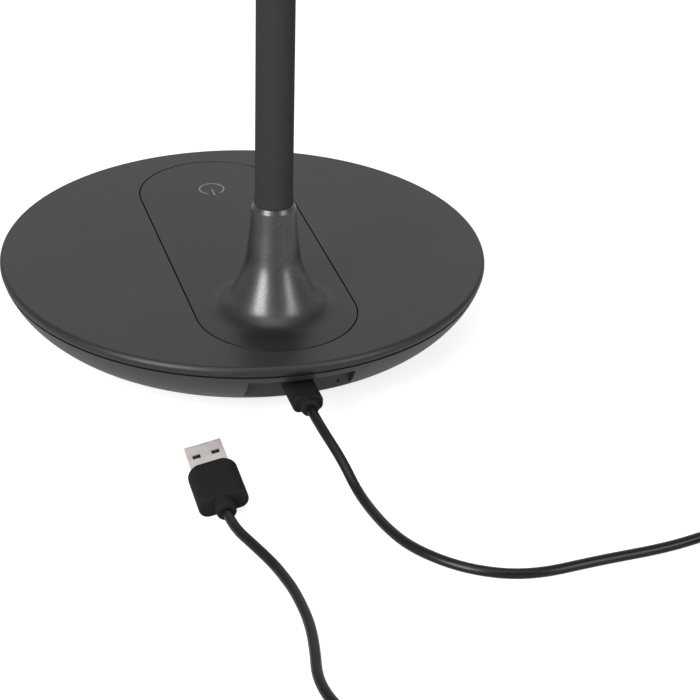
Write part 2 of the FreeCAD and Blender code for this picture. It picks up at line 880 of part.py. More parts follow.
def neck_place(s):
    """Point and direction of the neck's centreline at a length from its start."""
    if s <= neck_straight:
        return V(0, stem_back, neck_start_z + s), V(0, 0, 1)
    bend_z = neck_start_z + neck_straight
    angle = min((s - neck_straight) / neck_bend_r, math.pi / 2)
    past = max(s - neck_straight - neck_arc_l, 0)
    point = V(0, stem_back - neck_bend_r * (1 - math.cos(angle)) - past, bend_z
              + neck_bend_r * math.sin(angle))
    return point, V(0, -math.sin(angle), math.cos(angle))


def neck_wire(start, end, x=0):
    """Wire of the centreline's lines and arc between two lengths."""
    shift = V(x, 0, 0)
    arc_end = neck_straight + neck_arc_l
    edges = []
    if start < neck_straight:
        stop = min(end, neck_straight)
        edges.append(Part.LineSegment(neck_place(start)[0] + shift, neck_place(stop)[0] + shift).toShape())
    if end > neck_straight and start < arc_end:
        first = max(start, neck_straight)
        last = min(end, arc_end)
        if last - first > touch_gap:
            marks = [neck_place(first)[0], neck_place((first + last) / 2)[0], neck_place(last)[0]]
            edges.append(Part.Arc(marks[0] + shift, marks[1] + shift, marks[2] + shift).toShape())
    if end > arc_end:
        first = max(start, arc_end)
        edges.append(Part.LineSegment(neck_place(first)[0] + shift, neck_place(end)[0] + shift).toShape())
    return Part.Wire(edges)


def neck_pipe(start, end, radius, x=0):
    """Round bar along the neck between two lengths."""
    place, way = neck_place(start)
    circle = Part.Wire(Part.Circle(place + V(x, 0, 0), way, radius).toShape())
    return neck_wire(start, end, x).makePipeShell([circle], True, False)


def joint_at(index):
    """Length along the neck of a joint, counted from 1."""
    return joint_first + joint_pitch * (index - 1)


def neck_core(index):
    """One link of the core: a ball at its lower joint and a cup at its upper one."""
    start = joint_at(index) if index > 0 else -ferrule_seat + touch_gap - free_gap
    end = joint_at(index + 1) if index < joint_count else neck_l + head_ferrule_in
    link = neck_pipe(start, end, core_r)
    if index > 0:
        link = link.fuse(Part.makeSphere(core_r, neck_place(start)[0]))
    link = link.cut(neck_pipe(start, end, core_bore_r))
    if index > 0:
        place, way = neck_place(start)
        link = link.cut(Part.makeCylinder(core_bore_r, 2 * core_r, place - way * 2 * core_r, way))
        link = link.cut(Part.makeCone(2 * core_bore_r, core_bore_r, core_r, place - way * core_r, way)
                        .common(Part.makeSphere(core_r + overrun, place)))
    if index < joint_count:
        link = link.cut(Part.makeSphere(core_r + cup_gap, neck_place(end)[0]))
    return max(link.Solids, key=lambda solid: solid.Volume)


def neck_sleeve(index):
    """Length of silicone sleeve that covers one joint, counted from 1."""
    start = 0 if index == 1 else joint_at(index) - joint_pitch / 2 + free_gap / 2
    end = neck_l if index == joint_count else joint_at(index) + joint_pitch / 2 - free_gap / 2
    sleeve = neck_pipe(start, end, neck_r)
    if index == 1:
        low = neck_start_z
        flare = Part.makeCone(neck_flare_r, neck_r, neck_flare_h, V(0, stem_back, low), UP)
        sleeve = sleeve.fuse(flare)
    return sleeve.cut(neck_pipe(start, end, sleeve_bore_r))


def neck_wires():
    """The LED's two wires, from the board's hole up through the neck into the head."""
    start = board_top_z - neck_start_z
    end = neck_l + head_ferrule_in + lamp_wire_end
    return Part.makeCompound([neck_pipe(start, end, lamp_wire_r, side * lamp_wire_offset)
                              for side in (-1, 1)])


# Head

def head_back_y():
    """Where the housing starts, behind the collar."""
    return neck_end_y - head_start + collar_inset


def head_middle_y():
    """Middle of the housing's length."""
    return head_back_y() - head_l / 2


def head_solid(inset, low, top_drop=0):
    """Crowned stadium bar, set in all round."""
    width = head_w - 2 * inset
    length = head_l - 2 * inset
    crown_z = head_axis_z + head_crown - top_drop
    edge_z = head_low_z + head_edge_h - top_drop
    rise = crown_z - edge_z
    half = head_w / 2
    crown_r = (half ** 2 + rise ** 2) / (2 * rise)
    bar = stadium(width, length, low, crown_z + overrun, head_middle_y())
    start = head_middle_y() - head_l
    roof = Part.makeCylinder(crown_r, 2 * head_l, V(0, start, crown_z - crown_r), Y_AXIS)
    return bar.common(roof)


def head_housing():
    """Shell of the head, open below, with the boss for the neck and the board's posts."""
    housing = head_solid(0, head_low_z)
    rim = [edge for edge in housing.Edges if edge.BoundBox.ZMin > head_low_z + head_edge_h / 2]
    housing = housing.makeFillet(head_top_round, rim)
    hollow = head_solid(head_wall, head_low_z - overrun, head_wall)
    boss_y = head_back_y() - head_wall / 2
    boss = Part.makeCylinder(head_boss_r, head_boss_l, V(0, boss_y, head_axis_z), -Y_AXIS)
    posts = [cylinder(head_post_r, led_board_top(), head_axis_z + head_crown, x, y)
             for x, y in head_screw_places()]
    inner = boss
    for post in posts:
        inner = inner.fuse(post)
    inner = inner.common(head_solid(head_wall / 2, head_low_z, head_wall / 2))
    housing = housing.cut(hollow).fuse(inner)
    bore = Part.makeCylinder(ferrule_r + touch_gap, head_boss_l + 2 * head_wall,
                             V(0, head_back_y() + overrun, head_axis_z), -Y_AXIS)
    housing = housing.cut(bore)
    for x, y in head_screw_places():
        housing = housing.cut(cylinder(small_screw_r + touch_gap, head_low_z,
                                       led_board_top() + small_screw_length / 2, x, y))
    return housing.removeSplitter()


def led_board_top():
    """Height of the LED board's back."""
    return head_low_z + led_board_z + led_board_t


def head_screw_places():
    """Places of the LED board's screws."""
    places = []
    start = head_back_y() - led_board_start - head_w / 4
    end = head_back_y() - head_l + head_w / 3
    for i in range(head_screw_count):
        y = start + (end - start) * i / (head_screw_count - 1)
        places += [(-head_screw_x, y), (head_screw_x, y)]
    return places


def head_collar():
    """Turned collar between the sleeve's end and the housing."""
    far = neck_end_y - touch_gap
    near = head_back_y() - head_w / 2 + math.sqrt((head_w / 2) ** 2 - collar_r ** 2)
    bore_r = ferrule_r + touch_gap
    outline = [V(bore_r, far, 0), V(pedestal_top_r, far, 0), V(collar_r, far - collar_rim_h, 0),
               V(collar_r, near, 0), V(bore_r, near, 0), V(bore_r, far, 0)]
    collar = turned(polyline(outline), V(0, 0, 0), Y_AXIS)
    collar.translate(V(0, 0, head_axis_z))
    return collar.cut(stadium(head_w + 2 * touch_gap, head_l + 2 * touch_gap, head_low_z,
                              head_axis_z + head_w, head_middle_y()))


def head_ferrule():
    """Steel tube that joins the core's last link to the housing."""
    start = neck_end_y - touch_gap
    end = head_back_y() - head_boss_l
    bore_r = ferrule_r - ferrule_wall
    tube = Part.makeCylinder(ferrule_r, start - end, V(0, end, head_axis_z), Y_AXIS)
    return tube.cut(Part.makeCylinder(bore_r, start - end + 2 * overrun, V(0, end - overrun, head_axis_z),
                                      Y_AXIS))


def head_board():
    """Aluminium board that carries the LEDs."""
    top = led_board_top()
    length = head_l - led_board_start - head_wall - free_gap
    middle = head_back_y() - led_board_start - length / 2
    width = head_w - 2 * head_wall - 2 * free_gap
    board = stadium(width, length, top - led_board_t, top, middle)
    for x, y in head_screw_places():
        board = board.cut(cylinder(small_screw_r + fit_gap, top - led_board_t - overrun, top + overrun, x, y))
    return board


def head_leds():
    """Two rows of LEDs under the board."""
    top = led_board_top() - led_board_t
    start = head_back_y() - led_board_start - head_w / 2
    span = head_l - led_board_start - head_w
    solids = []
    for row in range(led_rows):
        x = led_row_gap * (row - (led_rows - 1) / 2)
        for i in range(led_count):
            y = start - span * i / (led_count - 1)
            solids.append(block(x - led_w / 2, x + led_w / 2, y - led_l / 2, y + led_l / 2, top - led_h, top))
    return Part.makeCompound(solids)


def head_screws():
    """Screws that hold the LED board to the housing's posts."""
    seat = led_board_top() - led_board_t
    length = small_screw_length / 2 + led_board_t - free_gap
    return Part.makeCompound([
        screw(small_screw_r, small_head_r, small_head_h, length, seat, x, y, True)
        for x, y in head_screw_places()])


def head_bezel():
    """Ring that holds the diffuser in the housing."""
    inset = head_wall + touch_gap
    outer = stadium(head_w - 2 * inset, head_l - 2 * inset, head_low_z, head_low_z + bezel_t,
                    head_middle_y())
    inset = inset + bezel_w
    return outer.cut(stadium(head_w - 2 * inset, head_l - 2 * inset, head_low_z - overrun,
                             head_low_z + bezel_t + overrun, head_middle_y()))


def head_diffuser():
    """Frosted lens above the bezel."""
    inset = head_wall + touch_gap
    low = head_low_z + bezel_t + touch_gap
    return stadium(head_w - 2 * inset, head_l - 2 * inset, low, low + diffuser_t, head_middle_y())


# Cable

def tube_along(points, diameter):
    """Tube on straight runs joined by tangent arcs, with the arcs' radii and the path's length."""
    edges = []
    radii = []
    start = points[0]
    for before, corner, after in zip(points, points[1:], points[2:]):
        way_in = (corner - before).normalize()
        way_out = (after - corner).normalize()
        turn = way_in.getAngle(way_out)
        trim = arc_share * min((corner - before).Length, (after - corner).Length)
        radius = trim / math.tan(turn / 2)
        inward = (way_out - way_in).normalize()
        middle = corner + inward * (radius / math.cos(turn / 2) - radius)
        arc_start = corner - way_in * trim
        arc_end = corner + way_out * trim
        edges.append(Part.LineSegment(start, arc_start).toShape())
        edges.append(Part.Arc(arc_start, middle, arc_end).toShape())
        radii.append(radius)
        start = arc_end
    edges.append(Part.LineSegment(start, points[-1]).toShape())
    path = Part.Wire(edges)
    first = (points[1] - points[0]).normalize()
    circle = Part.Wire(Part.Circle(points[0], first, diameter / 2).toShape())
    tube = path.makePipeShell([circle], True, False)
    return tube, radii, path.Length


def coil_in_turns():
    """Turns of one layer of the coil."""
    return (coil_turns - coil_climb_turns) / 2


def coil_place(u):
    """Point and direction of the coil's centreline after a number of turns.

    The lower layer spirals in, the cord climbs in the half turn where the spiral reverses, and the
    upper layer spirals out.
    """
    layer = coil_in_turns()
    half_climb = coil_climb_turns / 2
    low_r = coil_out_r - coil_pitch * layer
    past = u - layer
    if past <= 0:
        r = coil_out_r - coil_pitch * u
        slope = -coil_pitch
    elif past < coil_climb_turns:
        share = past / half_climb
        r = low_r - coil_pitch * (past - past ** 2 / coil_climb_turns)
        slope = -coil_pitch * (1 - share)
    else:
        r = low_r + coil_pitch * (past - coil_climb_turns)
        slope = coil_pitch
    rise_share = min(max(past / coil_climb_turns, 0), 1)
    z = coil_lift + cord_r + coil_layer_h * (3 * rise_share ** 2 - 2 * rise_share ** 3)
    climb = coil_layer_h * (6 * rise_share - 6 * rise_share ** 2) / coil_climb_turns
    angle = math.radians(coil_start_angle - FULL_TURN * u)
    turn = -2 * math.pi
    place = V(coil_x + r * math.cos(angle), coil_y + r * math.sin(angle), z)
    way = V(slope * math.cos(angle) - r * turn * math.sin(angle),
            slope * math.sin(angle) + r * turn * math.cos(angle), climb)
    return place, way.normalize()


def arc_between(start, corner, end):
    """Arc from one point to another whose tangents meet at a corner."""
    half = (end - start) * (1 / 2)
    middle = start + half
    to_corner = corner - middle
    angle = math.atan2(to_corner.Length, half.Length)
    sag = half.Length * math.tan(angle / 2)
    return Part.Arc(start, middle + to_corner.normalize() * sag, end).toShape()


def biarc(start, start_way, end, end_way):
    """Two arcs that join two points along the given directions."""
    chord = end - start
    ways = start_way + end_way
    square = 4 - ways.dot(ways)
    cross = chord.dot(ways)
    reach = (math.sqrt(cross ** 2 + square * chord.dot(chord)) - cross) / square
    first = start + start_way * reach
    second = end - end_way * reach
    joint = (first + second) * (1 / 2)
    return [arc_between(start, first, joint), arc_between(joint, second, end)]


def coil_ends():
    """Straight ends of the coil: where it meets the cord's two free stretches."""
    start, start_way = coil_place(0)
    end, end_way = coil_place(coil_turns)
    return start - start_way * cord_d, start_way, end + end_way * cord_d, end_way


def cord_coil():
    """The put-away length, as one unbroken tube."""
    quarters = round(coil_turns * 4)
    marks = [coil_place(coil_turns * i / quarters) for i in range(quarters + 1)]
    start, start_way, end = coil_ends()[:3]
    edges = [Part.LineSegment(start, marks[0][0]).toShape()]
    for (a, a_way), (b, b_way) in zip(marks, marks[1:]):
        edges += biarc(a, a_way, b, b_way)
    edges.append(Part.LineSegment(marks[-1][0], end).toShape())
    path = Part.Wire(edges)
    circle = Part.Wire(Part.Circle(start, start_way, cord_r).toShape())
    print("coil length %.1f, least gap to itself %.2f" % (path.Length, coil_gap(path)))
    tube = path.makePipeShell([circle], True, False)
    print("coil volume %.1f, section times length %.1f" % (tube.Volume, math.pi * cord_r ** 2 * path.Length))
    return tube


def coil_gap(path):
    """Least distance between the coil's turns, measured on points."""
    points = path.discretize(Distance=cord_d)
    skip = round(coil_out_r / cord_d * 2)
    least = coil_out_r
    for i, a in enumerate(points):
        for b in points[i + skip:]:
            least = min(least, a.distanceToPoint(b))
    return least - cord_d


def coil_tie():
    """Strap round the coil's turns."""
    low_r = coil_out_r - coil_pitch * (coil_in_turns() + coil_climb_turns / 4) - cord_r - tie_gap
    high_r = coil_out_r + cord_r + tie_gap
    low_z = coil_lift - tie_gap
    high_z = coil_lift + coil_layer_h + cord_d + tie_gap
    outer = polyline([V(low_r - tie_t, 0, low_z - tie_t), V(high_r + tie_t, 0, low_z - tie_t),
                      V(high_r + tie_t, 0, high_z + tie_t), V(low_r - tie_t, 0, high_z + tie_t),
                      V(low_r - tie_t, 0, low_z - tie_t)])
    inner = polyline([V(low_r, 0, low_z), V(high_r, 0, low_z), V(high_r, 0, high_z), V(low_r, 0, high_z),
                      V(low_r, 0, low_z)])
    strap = turned(outer, V(0, 0, 0), UP, tie_angle).cut(turned(inner, V(0, 0, 0), UP, tie_angle))
    strap.rotate(V(0, 0, 0), UP, tie_middle_angle - tie_angle / 2)
    strap.translate(V(coil_x, coil_y, 0))
    return strap


def behind_port(points):
    """Points that are given with their distance behind the port plate's face as Y."""
    return [V(point.x, port_y + point.y, point.z) for point in points]


def lamp_side_points():
    """The cord's route from the lamp's plug to the coil."""
    lead_start = coil_ends()[0]
    way = coil_ends()[1]
    plug_end = V(0, plug_back_y + bead_l, port_z)
    hand_points = [
        V(0, 26.6, 14.4),
        V(-4.1, 40.6, 8.6),
        V(-6.8, 50.9, 1.6),
        V(-9.8, 70.7, 1.6),
        V(-15, 84.1, 1.6),
        V(-27, 97.5, 1.6),
        V(-43.8, 104.8, 1.6),
        V(-66.7, 102.2, 1.6),
        V(-90, 100.9, 1.6),
    ]
    return [plug_end] + behind_port(hand_points) + [lead_start - way * coil_lead, lead_start]


def usb_place(shape):
    """Put a shape that is modelled along +Y from the USB plug's front where the plug lies."""
    shape.rotate(V(0, 0, 0), Y_AXIS, usb_roll)
    shape.rotate(V(0, 0, 0), UP, usb_turn)
    shape.translate(V(usb_front_x, usb_front_y, grip_centre_z))
    return shape


def usb_side_points():
    """The cord's route from the coil to the USB-A plug."""
    lead_start = coil_ends()[2]
    way = coil_ends()[3]
    turn = math.radians(usb_turn)
    along = V(-math.sin(turn), math.cos(turn), 0)
    grip_end = V(usb_front_x, usb_front_y, grip_centre_z) + along * (usb_l + grip_l + grip_neck_l)
    hand_points = [
        V(-112, 158.1, 2.0),
        V(-95, 167.6, 1.6),
        V(-75, 174.6, 1.6),
        V(-56, 177.1, 1.6),
        V(-37, 175.6, 1.6),
        V(-12, 171.6, 1.6),
        V(11, 165.6, 1.6),
        V(26.5, 155.6, 1.6),
        V(30.5, 139.1, 1.6),
        V(26.9, 122.7, 1.6),
        V(25.2, 110.1, 1.6),
        V(25.5, 96.4, 1.6),
        V(26.5, 89, 1.6),
        V(28, 81.2, 1.6),
        V(31.3, 74.8, 3.4),
    ]
    from_coil = [lead_start, lead_start + way * coil_exit]
    return from_coil + behind_port(hand_points) + [grip_end + along * grip_lead, grip_end]


def cord_stretch(name, points):
    """Free stretch of cord, with its figures printed."""
    tube, radii, length = tube_along(points, cord_d)
    runs = [(b - a).Length for a, b in zip(points, points[1:])]
    print(name, "length %.1f" % length, "radii", [round(r, 1) for r in radii])
    print(name, "runs", [round(run, 1) for run in runs], "volume %.1f" % tube.Volume,
          "section times length %.1f" % (math.pi * cord_r ** 2 * length))
    return tube


def plug_tip():
    """Hollow metal tip of the charging plug."""
    front = plug_front_y - plug_l
    half_w = plug_w / 2
    half_h = plug_h / 2
    tip = block(-half_w, half_w, front, plug_front_y, port_z - half_h, port_z + half_h)
    hollow = block(-half_w + plug_t, half_w - plug_t, front - overrun, plug_front_y - plug_t,
                   port_z - half_h + plug_t, port_z + half_h - plug_t)
    return tip.cut(hollow)


def plug_insert():
    """Insulating insert with its contacts, under the socket's tongue."""
    half_w = plug_w / 2 - plug_t - touch_gap
    low = port_z - plug_h / 2 + plug_t + touch_gap
    top = port_z - socket_tongue_t / 2 - touch_gap
    front = plug_front_y - plug_l + plug_t
    return block(-half_w, half_w, front, plug_front_y - plug_t - touch_gap, low, top)


def plug_body():
    """Moulded body of the charging plug, with its short strain relief."""
    body = rounded_bar(plug_body_w, plug_body_h, plug_body_l, plug_body_round)
    body.translate(V(0, plug_front_y, port_z))
    bead = Part.makeCylinder(bead_r, bead_l, V(0, plug_back_y, port_z), Y_AXIS)
    rim = [edge for edge in bead.Edges if edge.BoundBox.YMin > plug_back_y + bead_l / 2]
    return body.fuse(bead.makeFillet(bead_r / 4, rim))


def usb_a_shell():
    """Folded metal shell of the USB-A plug, with its four windows."""
    half_w = usb_w / 2
    half_h = usb_h / 2
    shell = block(-half_w, half_w, 0, usb_l, -half_h, half_h)
    shell = shell.cut(block(-half_w + usb_t, half_w - usb_t, -overrun, usb_l + overrun, -half_h + usb_t,
                            half_h - usb_t))
    for side in (-1, 1):
        x = side * usb_window_x
        shell = shell.cut(block(x - usb_window_w / 2, x + usb_window_w / 2, usb_window_y,
                                usb_window_y + usb_window_l, -usb_h, usb_h))
    return usb_place(shell)


def usb_a_insert():
    """Plastic tongue in the lower half of the shell."""
    half_w = usb_w / 2 - usb_t - touch_gap
    low = -usb_h / 2 + usb_t + touch_gap
    return usb_place(block(-half_w, half_w, usb_t, usb_l, low, low + usb_tongue_t))


def usb_a_contacts():
    """Four contact strips on the tongue."""
    low = -usb_h / 2 + usb_t + touch_gap + usb_tongue_t
    solids = []
    for i in range(usb_contact_count):
        x = usb_contact_pitch * (i - (usb_contact_count - 1) / 2)
        solids.append(block(x - usb_contact_w / 2, x + usb_contact_w / 2, usb_t * 3,
                            usb_t * 3 + usb_contact_l, low, low + usb_contact_t))
    return usb_place(Part.makeCompound(solids))


def usb_a_body():
    """Moulded grip of the USB-A plug, with its short strain relief."""
    grip = rounded_bar(grip_w, grip_h, grip_l, grip_round)
    grip.translate(V(0, usb_l, 0))
    neck = Part.makeCylinder(grip_neck_r, grip_neck_l, V(0, usb_l + grip_l, 0), Y_AXIS)
    rim = [edge for edge in neck.Edges if edge.BoundBox.YMin > usb_l + grip_l + grip_neck_l / 2]
    return usb_place(grip.fuse(neck.makeFillet(grip_neck_r / 4, rim)))


def main():
    """Build every piece and write it."""
    os.makedirs("parts", exist_ok=True)
    pieces = {
        "top_cover": top_cover(),
        "control_panel": control_panel(),
        "power_symbol": power_symbol(),
        "lower_shell": lower_shell(),
        "port_plate": port_plate(),
        "foot_pad": cylinder(pad_r, 0, pad_top_z),
        "base_screws": base_screws(),
        "ballast_ring": ballast_ring(),
        "ballast_screws": ballast_screws(),
        "battery_cell": battery_cell(),
        "battery_cradle": battery_cradle(),
        "battery_contacts": battery_contacts(),
        "battery_wires": battery_wires(),
        "main_board": main_board(),
        "board_parts": board_parts(),
        "board_screws": board_screws(),
        "usb_socket_shell": usb_socket_shell(),
        "usb_socket_tongue": usb_socket_tongue(),
        "charge_light": charge_light(),
        "light_pipe": light_pipe(),
        "touch_board": touch_board(),
        "touch_cable": touch_cable(),
        "stem_ferrule": stem_ferrule(),
        "ferrule_nut": ferrule_nut(),
        "stem_bracket": stem_bracket(),
        "bracket_screws": bracket_screws(),
        "neck_wires": neck_wires(),
        "head_collar": head_collar(),
        "head_ferrule": head_ferrule(),
        "head_housing": head_housing(),
        "head_board": head_board(),
        "head_leds": head_leds(),
        "head_screws": head_screws(),
        "head_bezel": head_bezel(),
        "head_diffuser": head_diffuser(),
        "plug_tip": plug_tip(),
        "plug_insert": plug_insert(),
        "plug_body": plug_body(),
        "cord_lamp_side": cord_stretch("lamp side", lamp_side_points()),
        "cord_coil": cord_coil(),
        "cord_usb_side": cord_stretch("usb side", usb_side_points()),
        "coil_tie": coil_tie(),
        "usb_a_body": usb_a_body(),
        "usb_a_shell": usb_a_shell(),
        "usb_a_insert": usb_a_insert(),
        "usb_a_contacts": usb_a_contacts(),
    }
    for index in range(joint_count + 1):
        pieces["neck_core_%d" % index] = neck_core(index)
    for index in range(1, joint_count + 1):
        pieces["neck_sleeve_%d" % index] = neck_sleeve(index)
        place, way = neck_place(joint_at(index))
        print("joint %d at y %.4f z %.4f, way y %.6f z %.6f" % (index, place.y, place.z, way.y, way.z))
    for name, shape in pieces.items():
        write(name, shape)


main()
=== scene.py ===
"""Looks of a cordless LED desk lamp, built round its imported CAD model.

New pieces are modelled in millimetres and end in metres, in the CAD's own frame: +Z up, the desk at
zero, the touch switch toward -Y, the stem and the charging socket toward +Y.
"""

from __future__ import annotations

import json
import logging
import math
from dataclasses import dataclass
from enum import Enum
from typing import Any, Iterable, Sequence

import bmesh
import bpy
from mathutils import Matrix, Vector
from mathutils.geometry import interpolate_bezier

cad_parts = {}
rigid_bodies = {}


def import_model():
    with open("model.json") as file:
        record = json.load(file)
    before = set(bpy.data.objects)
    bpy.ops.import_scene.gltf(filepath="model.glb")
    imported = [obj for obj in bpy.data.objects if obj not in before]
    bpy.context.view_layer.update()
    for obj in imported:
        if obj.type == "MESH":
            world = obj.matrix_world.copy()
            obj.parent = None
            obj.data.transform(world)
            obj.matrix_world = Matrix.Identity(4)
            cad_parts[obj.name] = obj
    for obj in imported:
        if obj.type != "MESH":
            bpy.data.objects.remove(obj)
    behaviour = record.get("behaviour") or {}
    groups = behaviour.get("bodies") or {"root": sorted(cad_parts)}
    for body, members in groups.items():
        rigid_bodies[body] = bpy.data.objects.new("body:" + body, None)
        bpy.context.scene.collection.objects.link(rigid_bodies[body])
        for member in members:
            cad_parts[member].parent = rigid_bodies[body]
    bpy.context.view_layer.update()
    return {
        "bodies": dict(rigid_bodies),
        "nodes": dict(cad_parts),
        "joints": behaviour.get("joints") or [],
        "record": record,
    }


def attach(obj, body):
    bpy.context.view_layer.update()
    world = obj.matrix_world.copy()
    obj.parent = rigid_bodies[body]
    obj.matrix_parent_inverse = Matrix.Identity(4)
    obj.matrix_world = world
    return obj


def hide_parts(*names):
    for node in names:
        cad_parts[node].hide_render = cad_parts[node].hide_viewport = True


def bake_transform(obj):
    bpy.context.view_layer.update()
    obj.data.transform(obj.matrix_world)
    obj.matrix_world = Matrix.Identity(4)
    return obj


LOG = logging.getLogger("desk_lamp")
MM = 0.001

# The Mix node's colour sockets, which share their names with its other sockets
MIX_FIRST = 6
MIX_SECOND = 7
MIX_RESULT = 2

# How near counts as doubled, and as lying in a plane, in millimetres
DOUBLED = 1e-4
IN_PLANE = 1e-3

# A small rounding in two steps, as shares of its size: across and down
SOFT_SHARES = ((0.0, 1.0), (0.3, 0.3), (1.0, 0.0))

# A smooth line's handles are this share of the way between a point's neighbours
HANDLE_SHARE = 6

# How far back the openings of the shell are looked for, and how close a cut may pass a point
REAR = 40.0
CUT = 1e-5

WHITE = (1.0, 1.0, 1.0)

Pair = tuple[float, float]
Triple = tuple[float, float, float]
Colour = Triple
Loop = list[bmesh.types.BMEdge]


class Body(Enum):
    """The bodies of the model that pieces ride on."""

    ROOT = "root"
    HEAD = "head"
    CABLE = "cable"


class Shading(Enum):
    """How the faces of a piece are shaded."""

    SMOOTH = "smooth"
    WEIGHTED = "weighted"


class Axis(Enum):
    """An axis of the model's frame."""

    X = 0
    Y = 1
    Z = 2


# Shader maths

@dataclass(frozen=True)
class Value:
    """A shader socket that takes part in Python expressions."""

    bench: "NodeBench"
    socket: bpy.types.NodeSocket

    def _combine(self, operation: str, first: Any, second: Any) -> "Value":
        """Adds a Math node for two operands."""
        return self.bench.add("ShaderNodeMath", {"operation": operation}, {0: first, 1: second})

    def __add__(self, other: Any) -> "Value":
        """Sum."""
        return self._combine("ADD", self, other)

    def __radd__(self, other: Any) -> "Value":
        """Sum, with the socket second."""
        return self._combine("ADD", other, self)

    def __sub__(self, other: Any) -> "Value":
        """Difference."""
        return self._combine("SUBTRACT", self, other)

    def __rsub__(self, other: Any) -> "Value":
        """Difference, with the socket second."""
        return self._combine("SUBTRACT", other, self)

    def __mul__(self, other: Any) -> "Value":
        """Product."""
        return self._combine("MULTIPLY", self, other)

    def __rmul__(self, other: Any) -> "Value":
        """Product, with the socket second."""
        return self._combine("MULTIPLY", other, self)

    def wave(self) -> "Value":
        """Sine of the value."""
        return self.bench.add("ShaderNodeMath", {"operation": "SINE"}, {0: self})

    def size(self) -> "Value":
        """The value without its sign."""
        return self.bench.add("ShaderNodeMath", {"operation": "ABSOLUTE"}, {0: self})

    def rise(self, low: float, high: float) -> "Value":
        """Smooth step from 0 at one value to 1 at another.

        Args:
            low: where the step starts.
            high: where the step ends, which may lie below the start.

        Returns:
            The step.
        """
        settings = {"interpolation_type": "SMOOTHSTEP"}
        values = {"Value": self, "From Min": low, "From Max": high, "To Min": 0.0, "To Max": 1.0}
        return self.bench.add("ShaderNodeMapRange", settings, values)


class NodeBench:
    """The nodes of a material or of the world."""

    def __init__(self, tree: bpy.types.NodeTree) -> None:
        """Starts with the nodes that are there."""
        self.tree = tree
        self._point: Value | None = None

    def add(self, kind: str, settings: dict[str, Any], inputs: dict[int | str, Any],
            output: int | str = 0) -> Value:
        """Adds a node.

        Args:
            kind: the node's type.
            settings: the node's own properties.
            inputs: a value or a link for each socket that is set.
            output: the output socket that is wanted.

        Returns:
            The output as a value.
        """
        node = self.tree.nodes.new(kind)
        for key, setting in settings.items():
            setattr(node, key, setting)
        for key, value in inputs.items():
            self.feed(node.inputs[key], value)
        return Value(self, node.outputs[output])

    def feed(self, socket: bpy.types.NodeSocket, value: Any) -> None:
        """Links a value to a socket, or sets its default.

        Args:
            socket: the socket.
            value: another socket's value, or a number, colour or vector.
        """
        if isinstance(value, Value):
            self.tree.links.new(value.socket, socket)
        elif isinstance(value, tuple) and socket.type == "RGBA":
            socket.default_value = (*value, 1.0)
        else:
            socket.default_value = value

    def point(self) -> Value:
        """The point of the surface in the model's frame, in millimetres."""
        if self._point is None:
            place = self.add("ShaderNodeTexCoord", {}, {}, "Object")
            inputs = {0: place, "Scale": 1 / MM}
            self._point = self.add("ShaderNodeVectorMath", {"operation": "SCALE"}, inputs)
        return self._point

    def along(self, axis: Axis) -> Value:
        """One coordinate of the point, in millimetres."""
        return self.add("ShaderNodeSeparateXYZ", {}, {0: self.point()}, axis.value)

    def stretched(self, scale: Triple) -> Value:
        """The point after a stretch along each axis, for patterns that run one way."""
        return self.add("ShaderNodeMapping", {}, {"Vector": self.point(), "Scale": scale})

    def noise(self, size: float, detail: float = 2.0, roughness: float = 0.5,
              point: Value | None = None) -> Value:
        """Cloudy noise from 0 to 1.

        Args:
            size: how wide its blots are, in millimetres.
            detail: how many finer layers it has.
            roughness: how strong these are.
            point: where it is read, the surface's own point if not given.

        Returns:
            The noise.
        """
        inputs = {"Vector": point or self.point(), "Scale": 1 / size, "Detail": detail,
                  "Roughness": roughness}
        return self.add("ShaderNodeTexNoise", {}, inputs)

    def cells(self, size: float, feature: str = "F1") -> Value:
        """Scattered cells of a width in millimetres, by one of the Voronoi features."""
        inputs = {"Vector": self.point(), "Scale": 1 / size}
        return self.add("ShaderNodeTexVoronoi", {"feature": feature}, inputs, "Distance")

    def tint(self, factor: Any, low: Any, high: Any) -> Value:
        """Mixes two colours: the first at factor 0, the second at 1."""
        inputs = {0: factor, MIX_FIRST: low, MIX_SECOND: high}
        return self.add("ShaderNodeMix", {"data_type": "RGBA"}, inputs, MIX_RESULT)

    def bump(self, height: Value, depth: float) -> None:
        """Feeds the shader's normal from a relief of 0 to 1 that is so many millimetres deep."""
        inputs = {"Height": height, "Distance": depth * MM}
        self.surface({"Normal": self.add("ShaderNodeBump", {}, inputs)})

    def surface(self, inputs: dict[str, Any]) -> None:
        """Sets sockets of the Principled shader."""
        for key, value in inputs.items():
            self.feed(self.tree.nodes["Principled BSDF"].inputs[key], value)

    def ray(self, kind: str) -> Value:
        """Whether the ray that sees the surface is of a kind, as the Light Path node calls it."""
        return self.add("ShaderNodeLightPath", {}, {}, kind)


def shade(colour: Colour, factor: float) -> Colour:
    """A colour made lighter or darker by a factor."""
    return tuple(min(1.0, part * factor) for part in colour)


# Finishes

@dataclass(frozen=True)
class Finish:
    """What all finishes share."""

    name: str
    colour: Colour
    roughness: float

    def material(self) -> bpy.types.Material:
        """The material, made the first time that it is asked for."""
        made = bpy.data.materials.get(self.name)
        if made is None:
            made = bpy.data.materials.new(self.name)
            made.use_nodes = True
            self.fill(NodeBench(made.node_tree))
        return made

    def fill(self, bench: NodeBench) -> None:
        """Adds the nodes to a material. Each kind of finish has its own."""
        raise NotImplementedError

    def between(self, bench: NodeBench, factor: Any, low: float, high: float) -> Value:
        """The colour mixed between two brightnesses of itself."""
        return bench.tint(factor, shade(self.colour, low), shade(self.colour, high))


